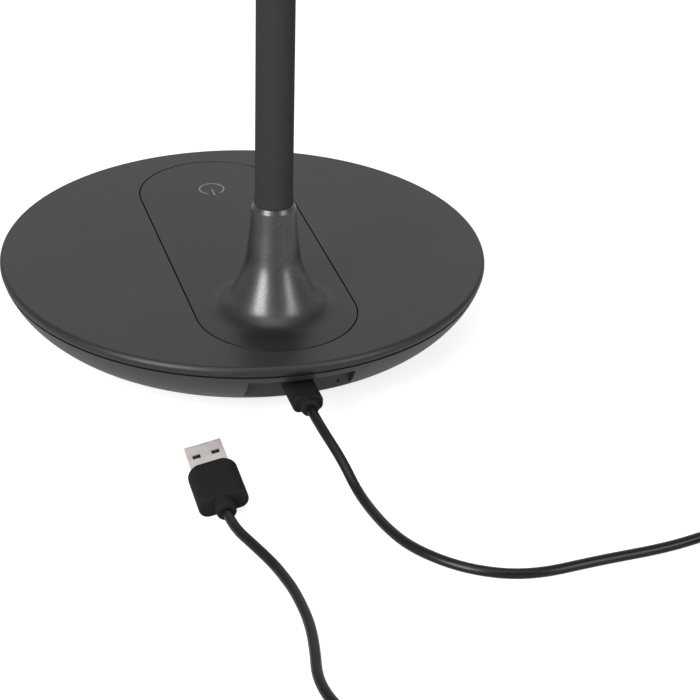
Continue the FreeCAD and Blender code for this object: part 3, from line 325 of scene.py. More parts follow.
@dataclass(frozen=True)
class Moulded(Finish):
    """Moulded plastic or rubber with a spark-eroded grain and a faint mottle."""

    grain: float = 0.35
    depth: float = 0.012
    mottle: float = 0.06
    gloss_drift: float = 0.06
    specular: float = 0.5
    cloud_size: float = 38.0
    cloud_share: float = 0.7
    pit_size: float = 2.2
    pit_share: float = 0.4

    def mottled(self, bench: NodeBench, clouds: Value, grain: Value) -> Value:
        """The colour, which drifts with the clouds and the grain."""
        tone = clouds * self.cloud_share + grain * (1 - self.cloud_share)
        return self.between(bench, tone, 1 - self.mottle, 1 + self.mottle)

    def drifting(self, clouds: Value) -> Value:
        """The roughness, which drifts with the clouds."""
        return self.roughness - self.gloss_drift / 2 + clouds * self.gloss_drift

    def fill(self, bench: NodeBench) -> None:
        """Adds the nodes of the grained surface.

        Args:
            bench: the material's nodes.
        """
        clouds = bench.noise(self.cloud_size, detail=3.0)
        grain = bench.noise(self.grain, roughness=0.6)
        pits = bench.cells(self.grain * self.pit_size, "SMOOTH_F1")
        bench.surface({"Base Color": self.mottled(bench, clouds, grain),
                       "Roughness": self.drifting(clouds), "Specular IOR Level": self.specular})
        bench.bump(grain * (1 - self.pit_share) + pits * self.pit_share, self.depth)


@dataclass(frozen=True)
class Flared(Moulded):
    """The panel's plastic, which takes on a glossier, flaked coat where the trumpet rises from it."""

    coat_roughness: float = 0.3
    coat_ior: float = 1.6
    coat_start: float = 26.7
    coat_end: float = 31.0
    flake: Colour = (0.07, 0.07, 0.075)
    flake_size: float = 0.5
    flake_edge: Pair = (0.3, 0.15)
    flake_metal: float = 0.8
    sparkle: float = 1.3
    least_coat: float = 0.3

    def fill(self, bench: NodeBench) -> None:
        """Adds the nodes of the plastic and its coat.

        Args:
            bench: the material's nodes.
        """
        up = bench.along(Axis.Z).rise(self.coat_start, self.coat_end)
        clouds = bench.noise(self.cloud_size, detail=3.0)
        grain = bench.noise(self.grain, roughness=0.6)
        flakes = bench.cells(self.flake_size).rise(*self.flake_edge) * up
        coat = bench.noise(self.flake_size, detail=1.0) * self.sparkle + self.least_coat
        bench.surface({"Base Color": bench.tint(flakes, self.mottled(bench, clouds, grain), self.flake),
                       "Metallic": flakes * self.flake_metal, "Roughness": self.drifting(clouds),
                       "Specular IOR Level": self.specular, "Coat Weight": up * coat,
                       "Coat Roughness": self.coat_roughness, "Coat IOR": self.coat_ior})
        bench.bump(grain, self.depth)


@dataclass(frozen=True)
class Metal(Finish):
    """Plated or machined metal with fine tool lines and slight tarnish."""

    lines: Axis = Axis.Y
    spacing: float = 0.12
    stretch: float = 0.03
    depth: float = 0.002
    tarnish: float = 0.25
    dulled: Colour = (0.72, 0.66, 0.6)
    stain_size: float = 4.0
    stain_edge: Pair = (0.42, 0.72)
    line_gloss: float = 0.12
    stain_gloss: float = 0.08

    def fill(self, bench: NodeBench) -> None:
        """Adds the nodes of the metal.

        Args:
            bench: the material's nodes.
        """
        scale = tuple(self.stretch if axis is self.lines else 1.0 for axis in Axis)
        point = bench.stretched(scale)
        drawn = bench.noise(self.spacing, detail=3.0, roughness=0.7, point=point)
        stains = bench.noise(self.stain_size, detail=4.0, roughness=0.6).rise(*self.stain_edge)
        dull = tuple(part * kept for part, kept in zip(self.colour, self.dulled))
        rough = self.roughness - self.line_gloss / 2 + drawn * self.line_gloss
        bench.surface({"Base Color": bench.tint(stains * self.tarnish, self.colour, dull),
                       "Roughness": rough + stains * self.stain_gloss, "Metallic": 1.0})
        bench.bump(drawn, self.depth)


@dataclass(frozen=True)
class Laminate(Finish):
    """Circuit board: solder mask over copper tracks, with tinned pads."""

    across_pitch: float = 3.1
    across_edge: Pair = (0.55, 0.8)
    along_pitch: float = 2.3
    along_edge: Pair = (0.6, 0.85)
    patch_size: float = 9.0
    patch_edge: Pair = (0.47, 0.53)
    pad_size: float = 3.4
    pad_edge: Pair = (0.13, 0.1)
    pad_metal: float = 0.9
    raised: float = 1.9
    tin: Colour = (0.62, 0.6, 0.56)
    gloss_size: float = 2.0
    gloss_drift: float = 0.12
    depth: float = 0.03
    pad_height: float = 0.3

    def fill(self, bench: NodeBench) -> None:
        """Adds the nodes of the board.

        Args:
            bench: the material's nodes.
        """
        across = (bench.along(Axis.X) * self.across_pitch).wave().rise(*self.across_edge)
        lengthways = (bench.along(Axis.Y) * self.along_pitch).wave().rise(*self.along_edge)
        patch = bench.noise(self.patch_size, detail=0.0).rise(*self.patch_edge)
        tracks = across * patch + lengthways * (1 - patch)
        pads = bench.cells(self.pad_size).rise(*self.pad_edge)
        masked = self.between(bench, tracks, 1.0, self.raised)
        bench.surface({"Base Color": bench.tint(pads, masked, self.tin), "Metallic": pads * self.pad_metal,
                       "Roughness": self.roughness + bench.noise(self.gloss_size) * self.gloss_drift})
        bench.bump(tracks * (1 - self.pad_height) + pads * self.pad_height, self.depth)


@dataclass(frozen=True)
class Wrap(Finish):
    """Shrunk plastic sleeve of a battery cell, with soft puckers at its ends."""

    shrunk: Pair = (27.0, 32.5)
    pucker_size: float = 1.4
    film_size: float = 6.0
    film_tones: Pair = (0.9, 1.12)
    film_height: float = 0.15
    gloss_drift: float = 0.2
    depth: float = 0.12

    def fill(self, bench: NodeBench) -> None:
        """Adds the nodes of the sleeve.

        Args:
            bench: the material's nodes.
        """
        ends = bench.along(Axis.X).size().rise(*self.shrunk)
        puckers = bench.noise(self.pucker_size, detail=3.0, roughness=0.6) * ends
        film = bench.noise(self.film_size)
        bench.surface({"Base Color": self.between(bench, film, *self.film_tones),
                       "Roughness": self.roughness + puckers * self.gloss_drift})
        bench.bump(puckers + film * self.film_height, self.depth)


@dataclass(frozen=True)
class Ribbon(Finish):
    """Flat flexible cable: copper tracks under an amber film."""

    pitch: float = 6.28
    track_edge: Pair = (-0.1, 0.35)
    copper: Colour = (0.5, 0.2, 0.045)
    stain: Colour = (0.1, 0.04, 0.01)
    stain_share: float = 0.2
    drift_size: float = 5.0
    gloss_drift: float = 0.1
    depth: float = 0.03

    def fill(self, bench: NodeBench) -> None:
        """Adds the nodes of the ribbon.

        Args:
            bench: the material's nodes.
        """
        tracks = (bench.along(Axis.X) * self.pitch).wave().rise(*self.track_edge)
        drift = bench.noise(self.drift_size)
        colour = bench.tint(tracks, self.colour, self.copper)
        bench.surface({"Base Color": bench.tint(drift * self.stain_share, colour, self.stain),
                       "Roughness": self.roughness + drift * self.gloss_drift})
        bench.bump(tracks, self.depth)


@dataclass(frozen=True)
class Clear(Finish):
    """Clear or frosted plastic."""

    clearness: float = 0.9
    depth: float = 0.004
    ior: float = 1.49
    haze_size: float = 0.6
    haze_tone: float = 0.97
    gloss_drift: float = 0.06

    def fill(self, bench: NodeBench) -> None:
        """Adds the nodes of the clear plastic.

        Args:
            bench: the material's nodes.
        """
        haze = bench.noise(self.haze_size)
        bench.surface({"Base Color": self.between(bench, haze, self.haze_tone, 1.0),
                       "Roughness": self.roughness + haze * self.gloss_drift,
                       "Transmission Weight": self.clearness, "IOR": self.ior})
        bench.bump(haze, self.depth)


@dataclass(frozen=True)
class Emitter(Finish):
    """LED package: a white frame round a yellow phosphor."""

    speckle_size: float = 0.12
    speckle_tone: float = 0.82
    gloss_drift: float = 0.1
    grain: float = 0.25
    depth: float = 0.008

    def fill(self, bench: NodeBench) -> None:
        """Adds the nodes of the package.

        Args:
            bench: the material's nodes.
        """
        speckle = bench.cells(self.speckle_size)
        grain = bench.noise(self.grain)
        bench.surface({"Base Color": self.between(bench, speckle, 1.0, self.speckle_tone),
                       "Roughness": self.roughness + grain * self.gloss_drift})
        bench.bump(grain, self.depth)


@dataclass(frozen=True)
class Woven(Finish):
    """Hook-and-loop strap."""

    pitch: float = 7.0
    fuzz_size: float = 0.3
    fuzz_tones: Pair = (0.7, 1.5)
    gloss_drift: float = 0.1
    sheen: float = 0.3
    sheen_roughness: float = 0.5
    depth: float = 0.072

    def fill(self, bench: NodeBench) -> None:
        """Adds the nodes of the strap.

        Args:
            bench: the material's nodes.
        """
        across = (bench.along(Axis.X) * self.pitch).wave()
        lengthways = (bench.along(Axis.Y) * self.pitch).wave()
        weave = across * lengthways * 0.5 + 0.5
        fuzz = bench.noise(self.fuzz_size, detail=3.0, roughness=0.7)
        bench.surface({"Base Color": self.between(bench, fuzz, *self.fuzz_tones),
                       "Roughness": self.roughness + weave * self.gloss_drift,
                       "Sheen Weight": self.sheen, "Sheen Roughness": self.sheen_roughness})
        bench.bump(weave + fuzz, self.depth)


COVER = Moulded("cover_finish", (0.0135, 0.0135, 0.0138), 0.42, specular=0.42)
PANEL = Flared("panel_finish", (0.006, 0.006, 0.0064), 0.4, grain=0.25, depth=0.006, specular=0.42)
SYMBOL = Moulded("symbol_finish", (0.2, 0.2, 0.2), 0.5, depth=0.003)
SHELL = Moulded("shell_finish", (0.019, 0.019, 0.0193), 0.36, specular=0.56)
PORT = Moulded("port_finish", (0.027, 0.027, 0.0282), 0.5, depth=0.008)
PAD = Moulded("pad_finish", (0.02, 0.02, 0.021), 0.85, grain=0.8, depth=0.05)
SILICONE = Moulded("silicone_finish", (0.0215, 0.021, 0.0245), 0.85, depth=0.01, mottle=0.04,
                   specular=0.25)
HEAD = Moulded("head_finish", (0.028, 0.028, 0.029), 0.42)
COLLAR = Flared("collar_finish", (0.006, 0.006, 0.0064), 0.4, grain=0.25, depth=0.006, specular=0.42)
PLUG = Moulded("plug_finish", (0.011, 0.011, 0.0113), 0.75, grain=0.4, depth=0.01, specular=0.12)
CORD = Moulded("cord_finish", (0.0045, 0.0045, 0.0047), 0.3, grain=0.5, depth=0.01, specular=0.3)
WIRE = Moulded("wire_finish", (0.35, 0.02, 0.015), 0.45, depth=0.006)
INNER = Moulded("inner_finish", (0.05, 0.05, 0.052), 0.55)
PARTS = Moulded("parts_finish", (0.03, 0.03, 0.032), 0.4, depth=0.006)
SCREW = Metal("screw_finish", (0.52, 0.51, 0.5), 0.32)
BALLAST = Metal("ballast_finish", (0.42, 0.42, 0.42), 0.5, tarnish=0.6)
FRAME = Metal("frame_finish", (0.55, 0.54, 0.52), 0.38)
CORE = Metal("core_finish", (0.48, 0.48, 0.48), 0.35, lines=Axis.X)
SOCKET = Metal("socket_finish", (0.62, 0.61, 0.6), 0.25)
PLUG_METAL = Metal("plug_metal_finish", (0.99, 0.935, 0.915), 0.55, tarnish=0.12)
BRASS = Metal("brass_finish", (0.78, 0.55, 0.24), 0.28)
# A darker copy of the brass for the USB plug's contacts: the shade inside the plug is painted into its
# colour
SHADED_BRASS = Metal("bronze_finish", (0.32, 0.21, 0.14), 0.45)
BOARD = Laminate("board_finish", (0.012, 0.07, 0.03), 0.35)
LED_BOARD = Laminate("led_board_finish", (0.72, 0.72, 0.7), 0.4)
CELL = Wrap("cell_finish", (0.03, 0.12, 0.3), 0.3)
RIBBON = Ribbon("ribbon_finish", (0.28, 0.11, 0.025), 0.35)
SMOKED = Moulded("smoked_finish", (0.002, 0.002, 0.0022), 0.3, grain=0.2, depth=0.002, specular=0.05)
FROSTED = Clear("frosted_finish", (0.9, 0.9, 0.89), 0.55, clearness=0.35, depth=0.02)
LED = Emitter("led_finish", (0.82, 0.62, 0.16), 0.4)
STRAP = Woven("strap_finish", (0.02, 0.02, 0.022), 0.8)

# The CAD nodes that stay, each with its finish
NODE_FINISHES: dict[Finish, tuple[str, ...]] = {
    PORT: ("port_plate",),
    SCREW: ("base_screws", "ballast_screws", "board_screws", "bracket_screws", "head_screws"),
    BALLAST: ("ballast_ring",),
    CELL: ("battery_cell",),
    INNER: ("battery_cradle", "plug_insert", "usb_a_insert"),
    BRASS: ("battery_contacts",),
    SHADED_BRASS: ("usb_a_contacts",),
    WIRE: ("battery_wires",),
    BOARD: ("main_board", "touch_board"),
    PARTS: ("board_parts", "usb_socket_tongue"),
    SOCKET: ("usb_socket_shell",),
    LED: ("charge_light", "head_leds"),
    SMOKED: ("light_pipe",),
    RIBBON: ("touch_cable",),
    FRAME: ("stem_ferrule", "ferrule_nut", "stem_bracket", "head_ferrule"),
    CORE: tuple("neck_core_%d" % k for k in range(7)),
    LED_BOARD: ("head_board",),
    PLUG_METAL: ("plug_tip", "usb_a_shell"),
}


# Mesh making

def once(items: Iterable[Any]) -> list[Any]:
    """Each item once, in the order given."""
    return list(dict.fromkeys(items))


def turned(angle: float, axis: Axis) -> Matrix:
    """A turn about an axis, with its angle in radians."""
    return Matrix.Rotation(angle, 4, axis.name)


def stand(name: str, data: Any) -> bpy.types.Object:
    """Puts an object with a mesh, a curve, a lamp or a camera in the scene."""
    made = bpy.data.objects.new(name, data)
    bpy.context.scene.collection.objects.link(made)
    return made


def smooth_line(knots: Sequence[Pair], steps: int) -> list[Pair]:
    """A smooth line through points of a profile.

    Args:
        knots: distance from the axis and height of each point.
        steps: how many pieces lie between two of them.

    Returns:
        The line's points, given the same way.
    """
    points = [Vector((*knot, 0.0)) for knot in knots]
    last = len(points) - 1
    handles = [(points[min(k + 1, last)] - points[max(k - 1, 0)]) / HANDLE_SHARE for k in range(last + 1)]
    line = [points[0]]
    for k in range(last):
        near = points[k] + handles[k]
        far = points[k + 1] - handles[k + 1]
        line += interpolate_bezier(points[k], near, far, points[k + 1], steps + 1)[1:]
    return [(point.x, point.y) for point in line]


class Workbench:
    """A mesh in the making, in millimetres."""

    def __init__(self) -> None:
        """Starts with an empty mesh."""
        self.mesh = bmesh.new()

    def ring(self, radius: float, place: Matrix, segments: int = 96) -> Loop:
        """Adds an open circle.

        Args:
            radius: its radius.
            place: where it lies, flat in its own XY plane.
            segments: how many edges it has.

        Returns:
            Its edges.
        """
        made = bmesh.ops.create_circle(self.mesh, cap_ends=False, segments=segments, radius=radius,
                                       matrix=place)
        return once(edge for vert in made["verts"] for edge in vert.link_edges)

    def flat_ring(self, radius: float, z: float, x: float = 0.0, y: float = 0.0,
                  segments: int = 96) -> Loop:
        """Adds an open circle that lies level."""
        return self.ring(radius, Matrix.Translation((x, y, z)), segments)

    def stadium(self, width: float, length: float, z: float, y: float = 0.0,
                segments: int = 194) -> Loop:
        """Adds an open outline with two round ends, long in Y.

        Args:
            width: its width.
            length: its length over the round ends.
            z: its height.
            y: its middle.
            segments: how many edges it has, an even number that four doesn't divide.

        Returns:
            Its edges.
        """
        loop = self.flat_ring(width / 2, z, segments=segments)
        verts = {vert for edge in loop for vert in edge.verts}
        half = length / 2 - width / 2
        rear = [vert for vert in verts if vert.co.y > 0]
        front = [vert for vert in verts if vert.co.y < 0]
        bmesh.ops.translate(self.mesh, verts=rear, vec=(0.0, y + half, 0.0))
        bmesh.ops.translate(self.mesh, verts=front, vec=(0.0, y - half, 0.0))
        return loop

    def section(self, width: float, height: float, radius: float, y: float, segments: int = 64) -> Loop:
        """Adds an open rounded rectangle that stands across Y.

        Args:
            width: its width in X.
            height: its height in Z.
            radius: the rounding of its corners.
            y: where it stands.
            segments: how many edges it has.

        Returns:
            Its edges.
        """
        radius = min(radius, width / 2, height / 2)
        turn = turned(math.pi / segments, Axis.Y) @ turned(math.pi / 2, Axis.X)
        loop = self.ring(radius, Matrix.Translation((0.0, y, 0.0)) @ turn, segments)
        verts = {vert for edge in loop for vert in edge.verts}
        for side, way in ((-1, -1), (-1, 1), (1, -1), (1, 1)):
            quarter = [vert for vert in verts if vert.co.x * side > 0 and vert.co.z * way > 0]
            bmesh.ops.translate(self.mesh, verts=quarter,
                                vec=(side * (width / 2 - radius), 0.0, way * (height / 2 - radius)))
        return loop

    def loft(self, loops: Sequence[Loop], closed: bool = False) -> None:
        """Joins loops with faces, one after the other.

        Args:
            loops: the loops in order.
            closed: whether the last joins the first.
        """
        pairs = list(zip(loops, loops[1:]))
        if closed:
            pairs.append((loops[-1], loops[0]))
        for first, second in pairs:
            bmesh.ops.bridge_loops(self.mesh, edges=first + second)

    def rod(self, loops: Sequence[Loop]) -> None:
        """Joins loops with faces and closes both ends."""
        self.loft(loops)
        self.cap(loops[0])
        self.cap(loops[-1])

    def cap(self, loop: Loop) -> None:
        """Closes a loop with one face."""
        bmesh.ops.contextual_create(self.mesh, geom=loop)

    def fill(self, edges: Loop) -> list[bmesh.types.BMFace]:
        """Fills a flat outline, with a hole in it or without, and returns the new faces."""
        made = bmesh.ops.triangle_fill(self.mesh, use_beauty=True, edges=edges)["geom"]
        return [item for item in made if isinstance(item, bmesh.types.BMFace)]

    def lathe(self, line: Sequence[Pair], segments: int = 192,
              angle: float = math.tau) -> list[bmesh.types.BMFace]:
        """Turns a profile round the Z axis, or through part of a turn.

        Args:
            line: distance from the axis and height of the profile's points.
            segments: steps of the turn.
            angle: how far it turns.

        Returns:
            The new faces.
        """
        verts = [self.mesh.verts.new((r, 0.0, z)) for r, z in line]
        edges = [self.mesh.edges.new(pair) for pair in zip(verts, verts[1:])]
        before = set(self.mesh.faces)
        bmesh.ops.spin(self.mesh, geom=verts + edges, cent=(0.0, 0.0, 0.0), axis=(0.0, 0.0, 1.0),
                       angle=angle, steps=segments, use_merge=angle >= math.tau, use_duplicate=False)
        self.weld()
        return [face for face in self.mesh.faces if face not in before]

    def box(self, size: Triple, centre: Triple) -> None:
        """Adds a box."""
        made = bmesh.ops.create_cube(self.mesh, size=1.0)["verts"]
        bmesh.ops.scale(self.mesh, vec=size, verts=made)
        bmesh.ops.translate(self.mesh, vec=centre, verts=made)

    def round_off(self, edges: Loop, radius: float, steps: int) -> None:
        """Rounds edges off in a number of steps."""
        bmesh.ops.bevel(self.mesh, geom=edges, offset=radius, offset_type="OFFSET", segments=steps,
                        profile=0.5, affect="EDGES", material=-1, clamp_overlap=True)

    def window(self, faces: Iterable[bmesh.types.BMFace], half: float, low: float, high: float,
               depth: float = REAR) -> Loop:
        """Cuts a rectangular opening that faces +Y.

        Args:
            faces: the faces that it may cut.
            half: half its width in X.
            low: its lower edge.
            high: its upper edge.
            depth: only what lies beyond this Y is cut.

        Returns:
            The opening's boundary.
        """
        near = [face for face in faces if face.is_valid and face.calc_center_median().y > REAR]
        geom = once(item for face in near for item in (face, *face.edges, *face.verts))
        planes = [((-half, 0, 0), (1, 0, 0)), ((half, 0, 0), (1, 0, 0)), ((0, 0, low), (0, 0, 1)),
                  ((0, 0, high), (0, 0, 1)), ((0, depth, 0), (0, 1, 0))]
        for place, normal in planes:
            cut = bmesh.ops.bisect_plane(self.mesh, geom=geom, dist=CUT, plane_co=place, plane_no=normal)
            geom = once(cut["geom"])
        inside = []
        for face in geom:
            if isinstance(face, bmesh.types.BMFace):
                middle = face.calc_center_median()
                if abs(middle.x) < half and low < middle.z < high and middle.y > depth:
                    inside.append(face)
        rim = once(edge for face in inside for edge in face.edges
                   if sum(other in inside for other in edge.link_faces) == 1)
        bmesh.ops.delete(self.mesh, geom=inside, context="FACES")
        return rim

    def push(self, loop: Loop, y: float) -> Loop:
        """Draws a wall from an opening's boundary to a plane.

        Args:
            loop: the boundary, part of which may lie in the plane.
            y: where the plane lies.

        Returns:
            The boundary that is left in the plane.
        """
        proud = [edge for edge in loop if max(vert.co.y for vert in edge.verts) > y + IN_PLANE]
        made = bmesh.ops.extrude_edge_only(self.mesh, edges=proud)["geom"]
        verts = [item for item in made if isinstance(item, bmesh.types.BMVert)]
        bmesh.ops.scale(self.mesh, vec=(1.0, 0.0, 1.0), verts=verts)
        bmesh.ops.translate(self.mesh, vec=(0.0, y, 0.0), verts=verts)
        self.weld()
        return [edge for edge in self.mesh.edges if len(edge.link_faces) == 1
                and all(abs(vert.co.y - y) < IN_PLANE for vert in edge.verts)]

    def weld(self) -> None:
        """Merges doubled points."""
        bmesh.ops.remove_doubles(self.mesh, verts=self.mesh.verts, dist=DOUBLED)

    def move(self, change: Matrix) -> None:
        """Moves everything made so far."""
        bmesh.ops.transform(self.mesh, matrix=change, verts=self.mesh.verts)

    def finish(self, name: str, finish: Finish, shading: Shading = Shading.WEIGHTED,
               sharp: float = 32.0) -> bpy.types.Object:
        """Turns the mesh into an object in metres.

        Args:
            name: the object's name.
            finish: its finish.
            shading: how it is shaded.
            sharp: edges that turn more than this stay sharp, in degrees.

        Returns:
            The object.
        """
        bmesh.ops.recalc_face_normals(self.mesh, faces=self.mesh.faces)
        bmesh.ops.scale(self.mesh, vec=(MM, MM, MM), verts=self.mesh.verts)
        mesh = bpy.data.meshes.new(name)
        self.mesh.to_mesh(mesh)
        self.mesh.free()
        mesh.shade_smooth()
        mesh.set_sharp_from_angle(angle=math.radians(sharp))
        mesh.materials.append(finish.material())
        made = stand(name, mesh)
        if shading is Shading.WEIGHTED:
            modifier = made.modifiers.new("weighted normals", "WEIGHTED_NORMAL")
            modifier.keep_sharp = True
        LOG.info("%s: %d faces", name, len(mesh.polygons))
        return made


def settle(piece: bpy.types.Object, body: Body, slot: str, *nodes: str) -> bpy.types.Object:
    """Puts a piece on its body and hides the CAD nodes that it replaces.

    Args:
        piece: the piece.
        body: the body that it rides on.
        slot: the record's material slot, which is not used.
        nodes: the CAD nodes that it replaces.

    Returns:
        The piece.
    """
    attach(piece, body.value)
    if nodes:
        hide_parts(*nodes)
    return piece


# Base

@dataclass
class Base:
    """The disc: cover, control panel with its pedestal, symbol, lower shell and foot pad."""

    radius: float = 85.0
    height: float = 26.5
    cover_t: float = 2.4
    edge_h: float = 3.7
    edge_round: float = 1.35
    edge_shares: tuple[Pair, ...] = (
        (0.0, 0.0), (0.32, 0.03), (0.62, 0.11), (0.86, 0.23), (1.0, 0.4), (0.96, 0.6), (0.75, 0.8),
        (0.4, 1.0))
    face_margin: float = 1.5
    skirt_w: float = 2.2
    panel_w: float = 54.0
    panel_l: float = 148.4
    panel_t: float = 2.0
    panel_gap: float = 0.02
    groove: float = 0.35
    soft: float = 0.25
    ledge: float = 3.2
    ledge_t: float = 2.2
    ledge_short: float = 2.0
    segments: int = 194
    stem_y: float = 42.3
    pedestal_h: float = 37.9
    pedestal_rim_h: float = 1.6
    pedestal_rim_r: float = 7.4
    pedestal_foot_r: float = 23.5
    pedestal_margin: float = 1.0
    pedestal_rim: tuple[Pair, ...] = ((7.34, 0.1), (6.75, 1.48), (6.5, 1.6), (5.75, 1.6), (5.65, 1.5))
    trumpet_shares: tuple[Pair, ...] = (
        (1.0, 0.0), (0.876, 0.0028), (0.77, 0.0116), (0.671, 0.0303), (0.571, 0.0647), (0.4845, 0.1074),
        (0.394, 0.1708), (0.28, 0.2755), (0.187, 0.375), (0.118, 0.485), (0.0795, 0.617), (0.031, 0.804),
        (0.0, 1.0))
    symbol_y: float = -50.3
    symbol_r: float = 4.5
    symbol_line: float = 0.55
    symbol_gap: float = 29.0
    symbol_depth: float = 0.6
    symbol_proud: float = 0.03
    symbol_bar: Pair = (0.3, 5.5)
    bowl_flat_r: float = 45.5
    bowl_centre_z: float = 31.2
    bowl_rise: float = 30.4
    bowl_reach: float = 40.56
    bowl_wall: float = 2.2
    bowl_rim_z: float = 22.35
    bowl_steps: int = 30
    lip_z: float = 23.8
    lip_r: float = 81.6
    lip_in_r: float = 80.1
    lip_drop: float = 1.5
    pocket_half: float = 17.9
    pocket_high: float = 20.1
    pocket_y: float = 73.2
    pocket_wall: float = 1.2
    socket_half: float = 4.9
    socket_z: Pair = (12.2, 16.6)
    posts: int = 4
    post_r: float = 4.5
    post_bore: float = 1.7
    post_soft: float = 0.3
    post_ring: float = 47.5
    post_top: float = 14.0
    pad_r: float = 51.5
    pad_t: float = 1.6
    pad_hollow: float = 0.35
    pad_land: Pair = (6.0, 5.4)
    pad_edge: tuple[Pair, ...] = ((0.8, 0.0), (0.25, 0.2), (0.0, 0.8), (0.2, 1.4), (0.7, 1.6))

    def build(self) -> None:
        """Builds every visible piece of the base."""
        settle(self.cover(), Body.ROOT, "cover_plastic", "top_cover")
        settle(self.panel(), Body.ROOT, "panel_plastic", "control_panel")
        settle(self.symbol(), Body.ROOT, "symbol_window", "power_symbol")
        settle(self.bowl(), Body.ROOT, "shell_plastic", "lower_shell")
        settle(self.pad(), Body.ROOT, "pad_rubber", "foot_pad")

    def soft_top(self, bench: Workbench, width: float, length: float, way: int) -> list[Loop]:
        """The rounded upper edge of a stadium at the cover's face.

        Args:
            bench: the mesh.
            width: the stadium's width under the rounding.
            length: its length there.
            way: 1 if the rounding leads outwards, -1 if inwards.

        Returns:
            The edge's loops, from below.
        """
        return [bench.stadium(width + 2 * way * out * self.soft, length + 2 * way * out * self.soft,
                              self.height - down * self.soft) for out, down in SOFT_SHARES]

    def cover(self) -> bpy.types.Object:
        """The thin disc with its rounded edge and the panel's opening."""
        bench = Workbench()
        width = self.panel_w + 2 * self.groove
        length = self.panel_l + 2 * self.groove
        under = self.height - self.cover_t
        seat = self.height - self.panel_t - self.panel_gap
        ledge_low = self.height - self.panel_t - self.ledge_t
        loops = [bench.stadium(width, length, seat)] + self.soft_top(bench, width, length, 1)
        edge = [(self.radius - self.edge_round + out * self.edge_round, self.height - down * self.edge_h)
                for out, down in self.edge_shares]
        inside = self.radius - self.skirt_w
        rows = [(edge[0][0] - self.face_margin, self.height)] + smooth_line(edge, steps=3)
        rows += [(inside, edge[-1][1]), (inside, under)]
        loops += [bench.flat_ring(r, z, segments=self.segments) for r, z in rows]
        reach = 2 * self.ledge
        loops += [bench.stadium(width + reach, length + reach - self.ledge_short, z)
                  for z in (under, ledge_low)]
        loops += [bench.stadium(width - reach, length - reach, z) for z in (ledge_low, seat)]
        bench.loft(loops, closed=True)
        return bench.finish("cover", COVER)

    def panel(self) -> bpy.types.Object:
        """The flush panel and the trumpet that grows out of it."""
        bench = Workbench()
        under = self.height - self.panel_t
        rim = self.height + self.pedestal_h - self.pedestal_rim_h
        outline = [bench.stadium(self.panel_w, self.panel_l, under)]
        outline += self.soft_top(bench, self.panel_w, self.panel_l, -1)
        bench.loft(outline)
        reach = self.pedestal_foot_r - self.pedestal_rim_r
        trumpet = [(self.pedestal_rim_r + out * reach, self.height + up * (rim - self.height))
                   for out, up in self.trumpet_shares]
        rows = [(self.pedestal_foot_r + self.pedestal_margin, self.height)] + smooth_line(trumpet, steps=5)
        rows += [(r, rim + up) for r, up in self.pedestal_rim]
        rows.append((rows[-1][0], under))
        loops = [bench.flat_ring(r, z, y=self.stem_y) for r, z in rows]
        bench.loft(loops)
        bench.fill(outline[0] + loops[-1])
        bench.fill(outline[-1] + loops[0])
        return bench.finish("panel", PANEL, sharp=40.0)

    def symbol(self) -> bpy.types.Object:
        """The switch's mark: an open ring with a bar in its gap."""
        bench = Workbench()
        low = self.height - self.symbol_depth
        high = self.height + self.symbol_proud
        inner = self.symbol_r - self.symbol_line / 2
        outer = self.symbol_r + self.symbol_line / 2
        bench.lathe([(inner, low), (inner, high), (outer, high), (outer, low), (inner, low)],
                    segments=72, angle=math.radians(360 - 2 * self.symbol_gap))
        ends = [edge for edge in bench.mesh.edges if len(edge.link_faces) == 1]
        bmesh.ops.holes_fill(bench.mesh, edges=ends, sides=4)
        bench.move(turned(math.radians(90 + self.symbol_gap), Axis.Z))
        first, last = self.symbol_bar
        bench.box((self.symbol_line, last - first, high - low),
                  (0.0, (first + last) / 2, (high + low) / 2))
        bench.move(Matrix.Translation((0.0, self.symbol_y, 0.0)))
        return bench.finish("power_mark", SYMBOL)

    def bowl_arc(self, inset: float, low_z: float) -> list[Pair]:
        """Points of the bowl's side from its flat bottom to its rim.

        Args:
            inset: how far inside the outer face.
            low_z: the height of the flat bottom.

        Returns:
            The distance from the axis and height of each point.
        """
        rise = self.bowl_centre_z - low_z
        reach = self.bowl_reach - inset
        last = math.acos((self.bowl_centre_z - self.bowl_rim_z) / rise)
        turns = [last * k / self.bowl_steps for k in range(self.bowl_steps + 1)]
        return [(self.bowl_flat_r + reach * math.sin(turn), self.bowl_centre_z - rise * math.cos(turn))
                for turn in turns]

    def bowl(self) -> bpy.types.Object:
        """The lower shell, with the port's pocket in its back."""
        bench = Workbench()
        low = self.bowl_centre_z - self.bowl_rise
        deep = low + self.bowl_wall
        meeting = (self.lip_in_r, self.bowl_rim_z - self.lip_drop)
        outer = [(0.0, low)] + self.bowl_arc(0.0, low)
        outer_faces = bench.lathe(outer)
        bench.lathe([outer[-1], (self.lip_r, self.bowl_rim_z), (self.lip_r, self.lip_z),
                     (self.lip_in_r, self.lip_z), meeting])
        inner = [(r, z) for r, z in self.bowl_arc(self.bowl_wall, deep) if r < self.lip_in_r]
        inner_faces = bench.lathe([(0.0, deep)] + inner + [meeting])
        holes = []
        for faces, wall in ((outer_faces, 0.0), (inner_faces, self.pocket_wall)):
            y = self.pocket_y - wall
            cut = bench.window(faces, self.pocket_half + wall, 0.0, self.pocket_high + wall, y)
            holes.append(bench.push(cut, y))
        bench.loft([bench.window(bench.fill(hole), self.socket_half, *self.socket_z) for hole in holes])
        for k in range(self.posts):
            angle = math.tau * (k + 0.5) / self.posts
            x = self.post_ring * math.cos(angle)
            y = self.post_ring * math.sin(angle)
            rows = ((self.post_r, deep), (self.post_r, self.post_top - self.post_soft),
                    (self.post_r - self.post_soft, self.post_top), (self.post_bore, self.post_top),
                    (self.post_bore, deep))
            bench.loft([bench.flat_ring(r, z, x, y, segments=40) for r, z in rows], closed=True)
        return bench.finish("bowl", SHELL, sharp=38.0)

